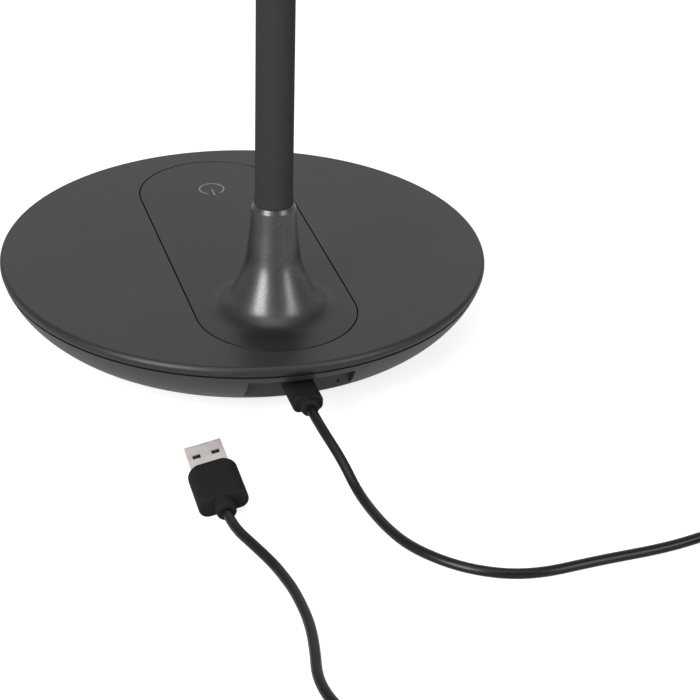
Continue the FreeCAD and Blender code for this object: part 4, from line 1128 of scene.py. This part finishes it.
    def pad(self) -> bpy.types.Object:
        """The rubber foot, with a soft edge and a shallow hollow."""
        bench = Workbench()
        inside, outside = self.pad_land
        under = [(0.0, self.pad_hollow), (self.pad_r - inside, self.pad_hollow),
                 (self.pad_r - outside, 0.0)]
        edge = smooth_line([(self.pad_r - inset, z) for inset, z in self.pad_edge], steps=4)
        bench.lathe(under + edge + [(0.0, self.pad_t)])
        return bench.finish("foot", PAD, sharp=50.0)


# Neck

@dataclass
class Neck:
    """The gooseneck's sleeve and lamp wires, each length built in one piece over a joint or split at it.
    """

    y: float = 42.3
    low_z: float = 64.45
    straight: float = 203.6
    bend_r: float = 72.0
    reach: float = 6.0
    radius: float = 6.3
    flare_r: float = 6.55
    flare_h: float = 5.0
    bore_r: float = 4.5
    first_joint: float = 28.0
    pitch: float = 50.0
    boundaries: tuple[float, ...] = (0.0, 53.0, 103.0, 153.0, 203.0, 253.0)
    blend_half: float = 20.0
    knuckle: int = 4
    knuckle_steps: int = 8
    knuckle_turn: float = 24.0
    knuckle_bore: float = 5.6
    knuckle_fade: float = 6.0
    wire_r: float = 0.7
    wire_x: float = 1.0
    wire_low: float = -51.65
    wire_beyond: float = 24.0
    sleeve_step: float = 1.7
    wire_step: float = 3.0

    def length(self) -> float:
        """The neck's length along its axis."""
        return self.straight + self.bend_r * math.pi / 2 + self.reach

    def place(self, s: float) -> Matrix:
        """The frame at a distance along the neck, with its Z along the axis.

        Args:
            s: the distance from the neck's foot.

        Returns:
            The frame.
        """
        bend_z = self.low_z + self.straight
        bend_y = self.y - self.bend_r
        if s <= self.straight:
            return Matrix.Translation((0.0, self.y, self.low_z + s))
        angle = min((s - self.straight) / self.bend_r, math.pi / 2)
        past = max(0.0, s - self.straight - self.bend_r * math.pi / 2)
        y = bend_y + self.bend_r * math.cos(angle) - past
        z = bend_z + self.bend_r * math.sin(angle)
        return Matrix.Translation((0.0, y, z)) @ turned(angle, Axis.X)

    def bodies(self, k: int) -> tuple[str, str]:
        """The bodies before and after a joint, counted from 1."""
        names = [Body.ROOT.value] + ["neck_link_%d" % n for n in range(1, 6)] + [Body.HEAD.value]
        return names[k - 1], names[k]

    def outer_r(self, s: float) -> float:
        """The sleeve's radius at a distance along the neck."""
        near = max(0.0, 1 - s / self.flare_h)
        return self.radius + (self.flare_r - self.radius) * near * near * (3 - 2 * near)

    def build(self) -> None:
        """Builds the sleeve and the wires."""
        ends = [*self.boundaries, self.length()]
        for k, (low, high) in enumerate(zip(ends, ends[1:]), 1):
            joint = self.first_joint + self.pitch * (k - 1)
            if k == self.knuckle:
                self.halves(k, low, joint, high)
            else:
                self.bent(k, low, joint, high)

    def bent(self, k: int, low: float, joint: float, high: float) -> None:
        """Builds one length in one piece over its joint, without putting it on a body.

        Args:
            k: the length's number, from 1.
            low: where it starts.
            joint: the joint's distance along the neck.
            high: where it ends.
        """
        spots = self.stations(low, high, self.sleeve_step)
        rows = [(s, self.outer_r(s)) for s in spots] + [(s, self.bore_r) for s in reversed(spots)]
        sleeve = self.tube("sleeve_%d" % k, rows)
        first_wire = self.wire_low if k == 1 else low
        last_wire = high + self.wire_beyond if k == len(self.boundaries) else high
        wires = self.wires("lamp_wires_%d" % k, first_wire, last_wire)
        first, second = self.bodies(k)
        start = tuple(self.place(joint - self.blend_half).translation * MM)
        end = tuple(self.place(joint + self.blend_half).translation * MM)
        for piece in (sleeve, wires):
            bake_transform(piece)
        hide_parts("neck_sleeve_%d" % k)
        if k == 1:
            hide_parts("neck_wires")

    def halves(self, k: int, low: float, joint: float, high: float) -> None:
        """Builds one length as two halves, whose round ends turn in each other at the joint.

        Args:
            k: the length's number, from 1.
            low: where it starts.
            joint: where the halves meet.
            high: where it ends.
        """
        first, second = self.bodies(k)
        for name, body, end in (("low", first, low), ("high", second, high)):
            sleeve = self.tube("sleeve_%d_%s" % (k, name), self.half_rows(end, joint))
            wires = self.wires("lamp_wires_%d_%s" % (k, name), min(end, joint), max(end, joint))
            for piece, slot in ((sleeve, "sleeve_silicone"), (wires, "wire_cover")):
                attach(piece, body)
            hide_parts("neck_sleeve_%d" % k)

    def stations(self, low: float, high: float, step: float) -> list[float]:
        """Even distances from one end of a length to the other."""
        count = max(2, round(abs(high - low) / step))
        return [low + (high - low) * k / count for k in range(count + 1)]

    def half_rows(self, end: float, joint: float) -> list[Pair]:
        """The section of half a length, with a round end past the joint.

        Args:
            end: where the half starts.
            joint: the joint's distance along the neck.

        Returns:
            Each point's distance along the neck and its radius.
        """
        spots = self.stations(end, joint, self.sleeve_step)
        rows = [(s, self.outer_r(s)) for s in spots]
        reach = math.copysign(self.radius, joint - end)
        for step in range(1, self.knuckle_steps + 1):
            angle = math.radians(self.knuckle_turn) * step / self.knuckle_steps
            rows.append((joint + reach * math.sin(angle), self.radius * math.cos(angle)))
        rows.append((rows[-1][0], self.knuckle_bore))
        for s in reversed(spots):
            near = max(0.0, 1 - abs(joint - s) / self.knuckle_fade)
            rows.append((s, self.bore_r + (self.knuckle_bore - self.bore_r) * near))
        return rows

    def tube(self, name: str, rows: Sequence[Pair]) -> bpy.types.Object:
        """Part of the silicone sleeve, from its section's distances along the neck and radii."""
        bench = Workbench()
        bench.loft([bench.ring(r, self.place(s), segments=64) for s, r in rows], closed=True)
        return bench.finish(name, SILICONE, Shading.SMOOTH, sharp=60.0)

    def wires(self, name: str, low: float, high: float) -> bpy.types.Object:
        """One length of the two lamp wires.

        Args:
            name: the piece's name.
            low: where it starts.
            high: where it ends.

        Returns:
            The piece.
        """
        bench = Workbench()
        for side in (-1, 1):
            shift = Matrix.Translation((side * self.wire_x, 0.0, 0.0))
            bench.rod([bench.ring(self.wire_r, self.place(s) @ shift, segments=12)
                       for s in self.stations(low, high, self.wire_step)])
        return bench.finish(name, WIRE, Shading.SMOOTH, sharp=60.0)


# Head

@dataclass
class Head:
    """The light head: housing, bezel, diffuser and the collar that joins it to the neck."""

    width: float = 44.0
    length: float = 152.0
    middle_y: float = -122.7
    low_z: float = 330.25
    crown_z: float = 348.85
    crown_r: float = 43.33
    wall: float = 1.8
    top_round: float = 1.6
    axis_z: float = 340.05
    collar_y: float = -35.75
    collar_end: float = -48.3
    collar_rows: tuple[Pair, ...] = (
        (5.7, 0.1), (5.8, 0.0), (6.5, 0.0), (6.7, 0.12), (7.34, 1.5), (7.4, 1.7))
    edge_soft: float = 0.4
    round_steps: int = 6
    crown_insets: tuple[float, ...] = (3.0, 5.0, 8.0, 11.0, 14.0, 17.0, 20.0, 21.6)
    inner_insets: tuple[float, ...] = (5.0, 10.0, 15.0, 20.0, 21.6)
    bezel_inset: float = 1.85
    bezel_w: float = 1.8
    bezel_t: float = 1.2
    bezel_outer: tuple[Pair, ...] = ((0.0, 0.2), (0.2, 0.0))
    bezel_inner: tuple[Pair, ...] = ((-0.4, 0.0), (-0.1, 0.12), (0.0, 0.4))
    diffuser_t: float = 1.6
    diffuser_gap: float = 0.05
    diffuser_edge: float = 0.2

    def build(self) -> None:
        """Builds the head's visible pieces."""
        settle(self.housing(), Body.HEAD, "head_plastic", "head_housing")
        settle(self.bezel(), Body.HEAD, "head_plastic", "head_bezel")
        settle(self.diffuser(), Body.HEAD, "diffuser", "head_diffuser")
        settle(self.collar(), Body.HEAD, "collar_metal", "head_collar")

    def crown(self, x: float) -> float:
        """Height of the crowned top over a distance from its middle line."""
        return self.crown_z - self.crown_r + math.sqrt(self.crown_r ** 2 - x * x)

    def outline(self, bench: Workbench, inset: float, z: float) -> Loop:
        """The head's outline at a height, drawn in by an inset."""
        return bench.stadium(self.width - 2 * inset, self.length - 2 * inset, z, self.middle_y)

    def crowned(self, bench: Workbench, inset: float, drop: float) -> Loop:
        """The outline drawn in by an inset and laid on the crown.

        Args:
            bench: the mesh.
            inset: how far inside the outline.
            drop: how far under the crown.

        Returns:
            The loop.
        """
        loop = self.outline(bench, inset, 0.0)
        for vert in {vert for edge in loop for vert in edge.verts}:
            vert.co.z = self.crown(vert.co.x) - drop
        return loop

    def housing(self) -> bpy.types.Object:
        """The housing with its crowned top."""
        bench = Workbench()
        r = self.top_round
        loops = [self.outline(bench, out * self.edge_soft, self.low_z + up * self.edge_soft)
                 for out, up in reversed(SOFT_SHARES)]
        for k in range(self.round_steps + 1):
            angle = math.pi / 2 * k / self.round_steps
            loops.append(self.crowned(bench, r - r * math.cos(angle), r - r * math.sin(angle)))
        loops += [self.crowned(bench, inset, 0.0) for inset in self.crown_insets]
        bench.loft(loops)
        bench.cap(loops[-1])
        inside = [loops[0], self.outline(bench, self.wall, self.low_z)]
        inside += [self.crowned(bench, inset, self.wall) for inset in (self.wall, *self.inner_insets)]
        bench.loft(inside)
        bench.cap(inside[-1])
        return bench.finish("housing", HEAD)

    def bezel(self) -> bpy.types.Object:
        """The frame round the diffuser."""
        bench = Workbench()
        inner = self.bezel_inset + self.bezel_w
        rows = [(self.bezel_inset + across, up) for across, up in self.bezel_outer]
        rows += [(inner + across, up) for across, up in self.bezel_inner]
        rows += [(inner, self.bezel_t), (self.bezel_inset, self.bezel_t)]
        bench.loft([self.outline(bench, inset, self.low_z + up) for inset, up in rows], closed=True)
        return bench.finish("bezel", HEAD)

    def diffuser(self) -> bpy.types.Object:
        """The frosted sheet that the light comes through."""
        bench = Workbench()
        low = self.low_z + self.bezel_t + self.diffuser_gap
        high = low + self.diffuser_t
        inset = self.bezel_inset
        edge = self.diffuser_edge
        rows = ((inset + edge, low), (inset, low + edge), (inset, high - edge), (inset + edge, high))
        bench.rod([self.outline(bench, across, z) for across, z in rows])
        return bench.finish("diffuser", FROSTED)

    def collar(self) -> bpy.types.Object:
        """The ring between neck and head."""
        bench = Workbench()
        rows = [(r, self.collar_y - back) for r, back in self.collar_rows]
        rows = [(rows[0][0], self.collar_end)] + rows + [(rows[-1][0], self.collar_end)]
        turn = turned(math.pi / 2, Axis.X)
        loops = [bench.ring(r, Matrix.Translation((0.0, y, self.axis_z)) @ turn, segments=128)
                 for r, y in rows]
        bench.loft(loops, closed=True)
        return bench.finish("collar", COLLAR, sharp=40.0)


# Cable

@dataclass
class Cable:
    """The charging cable: both plugs' moulded bodies, the cord and its tie."""

    cord_r: float = 1.6
    cord_round: int = 5
    cord_order: int = 3
    cord_steps: int = 6
    exit_point: Triple = (0.0, 92.2, 14.4)
    lamp_points: tuple[Triple, ...] = (
        (0.0, 101.0, 14.4), (-4.1, 115.0, 8.6), (-6.8, 125.3, 1.6), (-9.8, 145.1, 1.6),
        (-15.0, 158.5, 1.6), (-27.0, 171.9, 1.6), (-43.8, 179.2, 1.6), (-66.7, 176.6, 1.6),
        (-90.0, 175.3, 1.6))
    usb_points: tuple[Triple, ...] = (
        (-112.0, 232.5, 2.0), (-95.0, 242.0, 1.6), (-75.0, 249.0, 1.6), (-56.0, 251.5, 1.6),
        (-37.0, 250.0, 1.6), (-12.0, 246.0, 1.6), (11.0, 240.0, 1.6), (26.5, 230.0, 1.6),
        (30.5, 213.5, 1.6), (26.9, 197.1, 1.6), (25.2, 184.5, 1.6), (25.5, 170.8, 1.6),
        (26.5, 163.4, 1.6), (28.0, 155.6, 1.6), (31.3, 149.2, 3.4))
    grip_lead: float = 7.5
    coil_centre: Pair = (-125.5, 195.3)
    coil_r: float = 22.4
    coil_pitch: float = 3.7
    coil_turns: float = 6.4
    coil_climb: float = 0.5
    coil_z: float = 2.5
    coil_start: float = -90.0
    coil_steps: int = 24
    coil_lead: float = 16.0
    coil_exit: float = 12.0
    coil_probe: float = 0.001
    straight_end: float = 3.2
    stated_length: float = 1.135
    tie_angle: float = 26.0
    tie_middle: float = 20.0
    tie_t: float = 0.5
    tie_r: Pair = (9.07, 24.35)
    tie_z: Pair = (0.55, 8.15)
    tie_soft: float = 1.2
    tie_cut: float = 0.42
    plug_y: Pair = (74.7, 89.0)
    plug_size: Pair = (10.1, 5.8)
    plug_round: float = 2.2
    plug_soft: float = 0.45
    plug_corner: float = 60.0
    bead_r: float = 3.0
    bead_root: float = 0.3
    bead_eye: float = 0.3
    bead_rows: tuple[Pair, ...] = ((0.0, 0.8), (0.08, 0.4), (0.3, 0.1), (0.7, 0.0))
    usb_front: Triple = (35.2, 91.8, 4.323)
    usb_turn: float = -1.5
    usb_roll: float = 12.0
    usb_l: float = 12.3
    grip_size: Triple = (15.9, 20.1, 6.6)
    grip_round: float = 3.0
    grip_corner: float = 3.0
    grip_steps: int = 8
    grip_edge: float = 0.7
    grip_rear: tuple[Pair, ...] = ((0.0, 0.45), (0.06, 0.2), (0.2, 0.06), (0.45, 0.0))
    grip_neck_r: float = 3.2
    grip_neck_l: float = 4.8

    def build(self) -> None:
        plug = settle(self.plug(), Body.CABLE, "plug_plastic", "plug_body")
        grip = settle(self.grip(), Body.CABLE, "plug_plastic", "usb_a_body")
        tie = settle(self.tie(), Body.CABLE, "tie_strap", "coil_tie")
        cord = settle(self.cord(), Body.CABLE, "cord_cover", "cord_lamp_side", "cord_coil",
                      "cord_usb_side")

    def usb_place(self) -> Matrix:
        """The frame of the USB plug, with its length along +Y."""
        turn = turned(math.radians(self.usb_turn), Axis.Z) @ turned(math.radians(self.usb_roll), Axis.Y)
        return Matrix.Translation(self.usb_front) @ turn

    def coil_place(self, u: float) -> Vector:
        """A point of the coil.

        Args:
            u: turns from its start.

        Returns:
            The point.
        """
        layer = (self.coil_turns - self.coil_climb) / 2
        low_r = self.coil_r - self.coil_pitch * layer
        past = u - layer
        if past <= 0:
            r = self.coil_r - self.coil_pitch * u
        elif past < self.coil_climb:
            r = low_r - self.coil_pitch * (past - past * past / self.coil_climb)
        else:
            r = low_r + self.coil_pitch * (past - self.coil_climb)
        rise = min(max(past / self.coil_climb, 0.0), 1.0)
        z = self.coil_z + self.coil_pitch * (3 * rise ** 2 - 2 * rise ** 3)
        angle = math.radians(self.coil_start) - math.tau * u
        x, y = self.coil_centre
        return Vector((x + r * math.cos(angle), y + r * math.sin(angle), z))

    def route(self) -> list[Vector]:
        """The cord's points from the lamp's plug to the USB plug."""
        count = round(self.coil_turns * self.coil_steps)
        turns = [self.coil_place(self.coil_turns * k / count) for k in range(count + 1)]
        step = self.coil_probe
        into = (self.coil_place(step) - turns[0]).normalized()
        out = (turns[-1] - self.coil_place(self.coil_turns - step)).normalized()
        start = turns[0] - into * self.straight_end
        end = turns[-1] + out * self.straight_end
        place = self.usb_place()
        back = self.usb_l + self.grip_size[1] + self.grip_neck_l
        grip_end = place @ Vector((0.0, back, 0.0))
        lead = place @ Vector((0.0, back + self.grip_lead, 0.0))
        points = [Vector(self.exit_point)] + [Vector(point) for point in self.lamp_points]
        points += [start - into * self.coil_lead, start] + turns + [end, end + out * self.coil_exit]
        points += [Vector(point) for point in self.usb_points]
        return points + [lead, grip_end]

    def cord(self) -> bpy.types.Object:
        """The cord as one smooth curve."""
        curve = bpy.data.curves.new("cord", "CURVE")
        curve.dimensions = "3D"
        curve.bevel_depth = self.cord_r * MM
        curve.bevel_resolution = self.cord_round
        curve.use_fill_caps = True
        spline = curve.splines.new("NURBS")
        points = self.route()
        spline.points.add(len(points) - 1)
        for target, point in zip(spline.points, points):
            target.co = (*(point * MM), 1.0)
        spline.order_u = self.cord_order
        spline.use_endpoint_u = True
        spline.resolution_u = self.cord_steps
        spline.use_smooth = True
        curve.materials.append(CORD.material())
        LOG.info("cord: %d points", len(points))
        return stand("cord", curve)

    def plug(self) -> bpy.types.Object:
        """The moulded body of the plug at the lamp."""
        bench = Workbench()
        front, back = self.plug_y
        width, height = self.plug_size
        z = self.exit_point[2]
        bench.box((width, back - front, height), (0.0, (front + back) / 2, z))
        sides = [edge for edge in bench.mesh.edges
                 if abs(edge.verts[0].co.y - edge.verts[1].co.y) > IN_PLANE]
        bench.round_off(sides, self.plug_round, steps=6)
        corner = math.radians(self.plug_corner)
        ends = [edge for edge in bench.mesh.edges if edge.calc_face_angle() > corner]
        bench.round_off(ends, self.plug_soft, steps=3)
        self.bead(bench, Matrix.Translation((0.0, back, z)), self.bead_r, self.exit_point[1] - back)
        return bench.finish("lamp_plug", PLUG)

    def bead(self, bench: Workbench, place: Matrix, radius: float, length: float) -> None:
        """Adds the short strain relief that the cord leaves a plug by.

        Args:
            bench: the plug's mesh.
            place: the frame at the plug's rear face, with its length along +Y.
            radius: its radius.
            length: how far it stands out.
        """
        turn = turned(-math.pi / 2, Axis.X)
        rows = [(radius, -self.bead_root)]
        rows += [(radius - drop, length - before) for drop, before in self.bead_rows]
        rows.append((self.bead_eye, length))
        bench.rod([bench.ring(r, place @ Matrix.Translation((0.0, y, 0.0)) @ turn, segments=40)
                   for r, y in rows])

    def grip(self) -> bpy.types.Object:
        """The moulded body of the USB plug."""
        bench = Workbench()
        width, length, height = self.grip_size
        edge = self.grip_edge
        rear = self.usb_l + length
        rows = []
        for step in range(self.grip_steps + 1):
            angle = math.pi / 2 * step / self.grip_steps
            y = self.grip_corner * (1 - math.cos(angle))
            thin = max(0.0, edge - math.sqrt(max(0.0, edge ** 2 - max(0.0, edge - y) ** 2)))
            rows.append((self.grip_corner * (1 - math.sin(angle)), thin, self.usb_l + y))
        rows += [(inset, inset, rear - before) for inset, before in self.grip_rear]
        bench.rod([bench.section(width - 2 * inset, height - 2 * thin, self.grip_round, y)
                   for inset, thin, y in rows])
        self.bead(bench, Matrix.Translation((0.0, rear, 0.0)), self.grip_neck_r, self.grip_neck_l)
        bench.move(self.usb_place())
        return bench.finish("usb_grip", PLUG)

    def tie(self) -> bpy.types.Object:
        """The strap that holds the coil."""
        bench = Workbench()
        low_r, high_r = self.tie_r
        low_z, high_z = self.tie_z
        soft = self.tie_soft
        cut = self.tie_cut
        line = []
        for r, z, across, up in ((low_r, low_z, 1, 1), (high_r, low_z, -1, 1), (high_r, high_z, -1, -1),
                                 (low_r, high_z, 1, -1)):
            three = [(r, z + up * soft), (r + across * cut, z + up * cut), (r + across * soft, z)]
            line += three if across == up else three[::-1]
        bench.lathe(line + line[:1], segments=10, angle=math.radians(self.tie_angle))
        bmesh.ops.recalc_face_normals(bench.mesh, faces=bench.mesh.faces)
        bmesh.ops.solidify(bench.mesh, geom=bench.mesh.faces, thickness=-self.tie_t)
        start = math.radians(self.tie_middle - self.tie_angle / 2)
        centre = Matrix.Translation((*self.coil_centre, 0.0))
        bench.move(centre @ turned(start, Axis.Z))
        return bench.finish("coil_strap", STRAP, sharp=50.0)


# Studio

@dataclass(frozen=True)
class Softbox:
    """A soft lamp that faces the object: angles in degrees, lengths in metres, power in watts."""

    name: str
    azimuth: float
    elevation: float
    distance: float
    size: Pair
    power: float

    def build(self, target: Vector) -> None:
        """Adds the lamp.

        Args:
            target: the point that it faces.
        """
        data = bpy.data.lights.new(self.name, "AREA")
        data.shape = "RECTANGLE"
        data.size, data.size_y = self.size
        data.energy = self.power
        turn = turned(math.radians(self.azimuth), Axis.Z)
        way = turn @ turned(-math.radians(self.elevation), Axis.Y) @ Vector((1.0, 0.0, 0.0))
        made = stand(self.name, data)
        made.location = target + way * self.distance
        made.rotation_euler = way.to_track_quat("Z", "Y").to_euler()


@dataclass
class Studio:
    """The floor, the lamps and the camera."""

    camera_place: Triple = (0.1642, 0.67873, 0.38016)
    right: Triple = (-0.961198, 0.274703, 0.025251)
    up: Triple = (-0.113945, -0.478719, 0.870543)
    forward: Triple = (-0.251229, -0.833887, -0.491444)
    lens: float = 114.0
    sensor: float = 36.0
    nearest: float = 0.01
    floor_half: float = 6.0
    floor_colour: Colour = (0.55, 0.55, 0.55)
    paper_size: float = 60.0
    paper_shade: float = 0.98
    seen_glow: float = 0.74
    mirrored_glow: float = 0.15
    soft_light: float = 0.3
    mirrored_light: float = 0.12
    target: Triple = (0.0, 0.0, 0.05)
    lamps: tuple[Softbox, ...] = (
        Softbox("left_box", 41.0, 20.0, 1.3, (0.55, 1.1), 20.0),
        Softbox("right_box", 126.0, 20.0, 1.3, (0.38, 1.1), 7.0),
        Softbox("back_box", -104.0, 32.0, 2.2, (2.6, 1.7), 7.0),
        Softbox("top_box", 76.0, 72.0, 1.3, (0.9, 0.7), 3.6))

    def build(self) -> None:
        """Builds the whole studio."""
        bpy.context.scene.view_settings.view_transform = "Standard"
        self.camera()
        self.floor()
        self.world()
        for lamp in self.lamps:
            lamp.build(Vector(self.target))

    def camera(self) -> None:
        """Puts the camera where the photograph was taken."""
        data = bpy.data.cameras.new("camera")
        data.lens = self.lens
        data.sensor_width = self.sensor
        data.clip_start = self.nearest
        back = -Vector(self.forward)
        frame = Matrix((self.right, self.up, back)).transposed().to_4x4()
        frame.translation = self.camera_place
        made = stand("camera", data)
        made.matrix_world = frame
        bpy.context.scene.camera = made

    def floor(self) -> None:
        """Adds the pale floor, which keeps the object's shadow."""
        mesh = bpy.data.meshes.new("floor")
        shape = bmesh.new()
        bmesh.ops.create_grid(shape, x_segments=1, y_segments=1, size=self.floor_half)
        shape.to_mesh(mesh)
        shape.free()
        material = bpy.data.materials.new("floor_finish")
        material.use_nodes = True
        bench = NodeBench(material.node_tree)
        paper = bench.noise(self.paper_size)
        colour = bench.tint(paper, shade(self.floor_colour, self.paper_shade), self.floor_colour)
        mirrored = bench.ray("Is Glossy Ray") + bench.ray("Is Transmission Ray")
        strength = bench.ray("Is Camera Ray") * self.seen_glow + mirrored * self.mirrored_glow
        diffuse = bench.add("ShaderNodeBsdfDiffuse", {}, {"Color": colour})
        glow = bench.add("ShaderNodeEmission", {}, {"Color": WHITE, "Strength": strength})
        both = bench.add("ShaderNodeAddShader", {}, {0: diffuse, 1: glow})
        bench.feed(bench.tree.nodes["Material Output"].inputs["Surface"], both)
        mesh.materials.append(material)
        stand("floor", mesh)

    def world(self) -> None:
        """Makes the surroundings white to look at, and a soft light on the object."""
        world = bpy.data.worlds.new("studio")
        world.use_nodes = True
        bpy.context.scene.world = world
        bench = NodeBench(world.node_tree)
        seen = bench.ray("Is Camera Ray") + bench.ray("Is Transmission Ray")
        strength = (seen * (1 - self.soft_light) + bench.ray("Is Glossy Ray") * self.mirrored_light
                    + self.soft_light)
        background = bench.tree.nodes["Background"]
        bench.feed(background.inputs["Color"], WHITE)
        bench.feed(background.inputs["Strength"], strength)


def dress_nodes(nodes: dict[str, bpy.types.Object]) -> None:
    """Gives each CAD node that stays its finish.

    Args:
        nodes: the frame's nodes.
    """
    for finish, names in NODE_FINISHES.items():
        for name in names:
            node = nodes[name]
            if not node.material_slots:
                node.data.materials.append(None)
            for slot in node.material_slots:
                slot.material = finish.material()
        LOG.info("%s on %d nodes", finish.name, len(names))


def main() -> None:
    """Builds the lamp and its studio."""
    logging.basicConfig(level=logging.INFO, format="%(message)s")
    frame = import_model()
    dress_nodes(frame["nodes"])
    Base().build()
    Neck().build()
    Head().build()
    Cable().build()
    Studio().build()


if __name__ == "__main__":
    main()
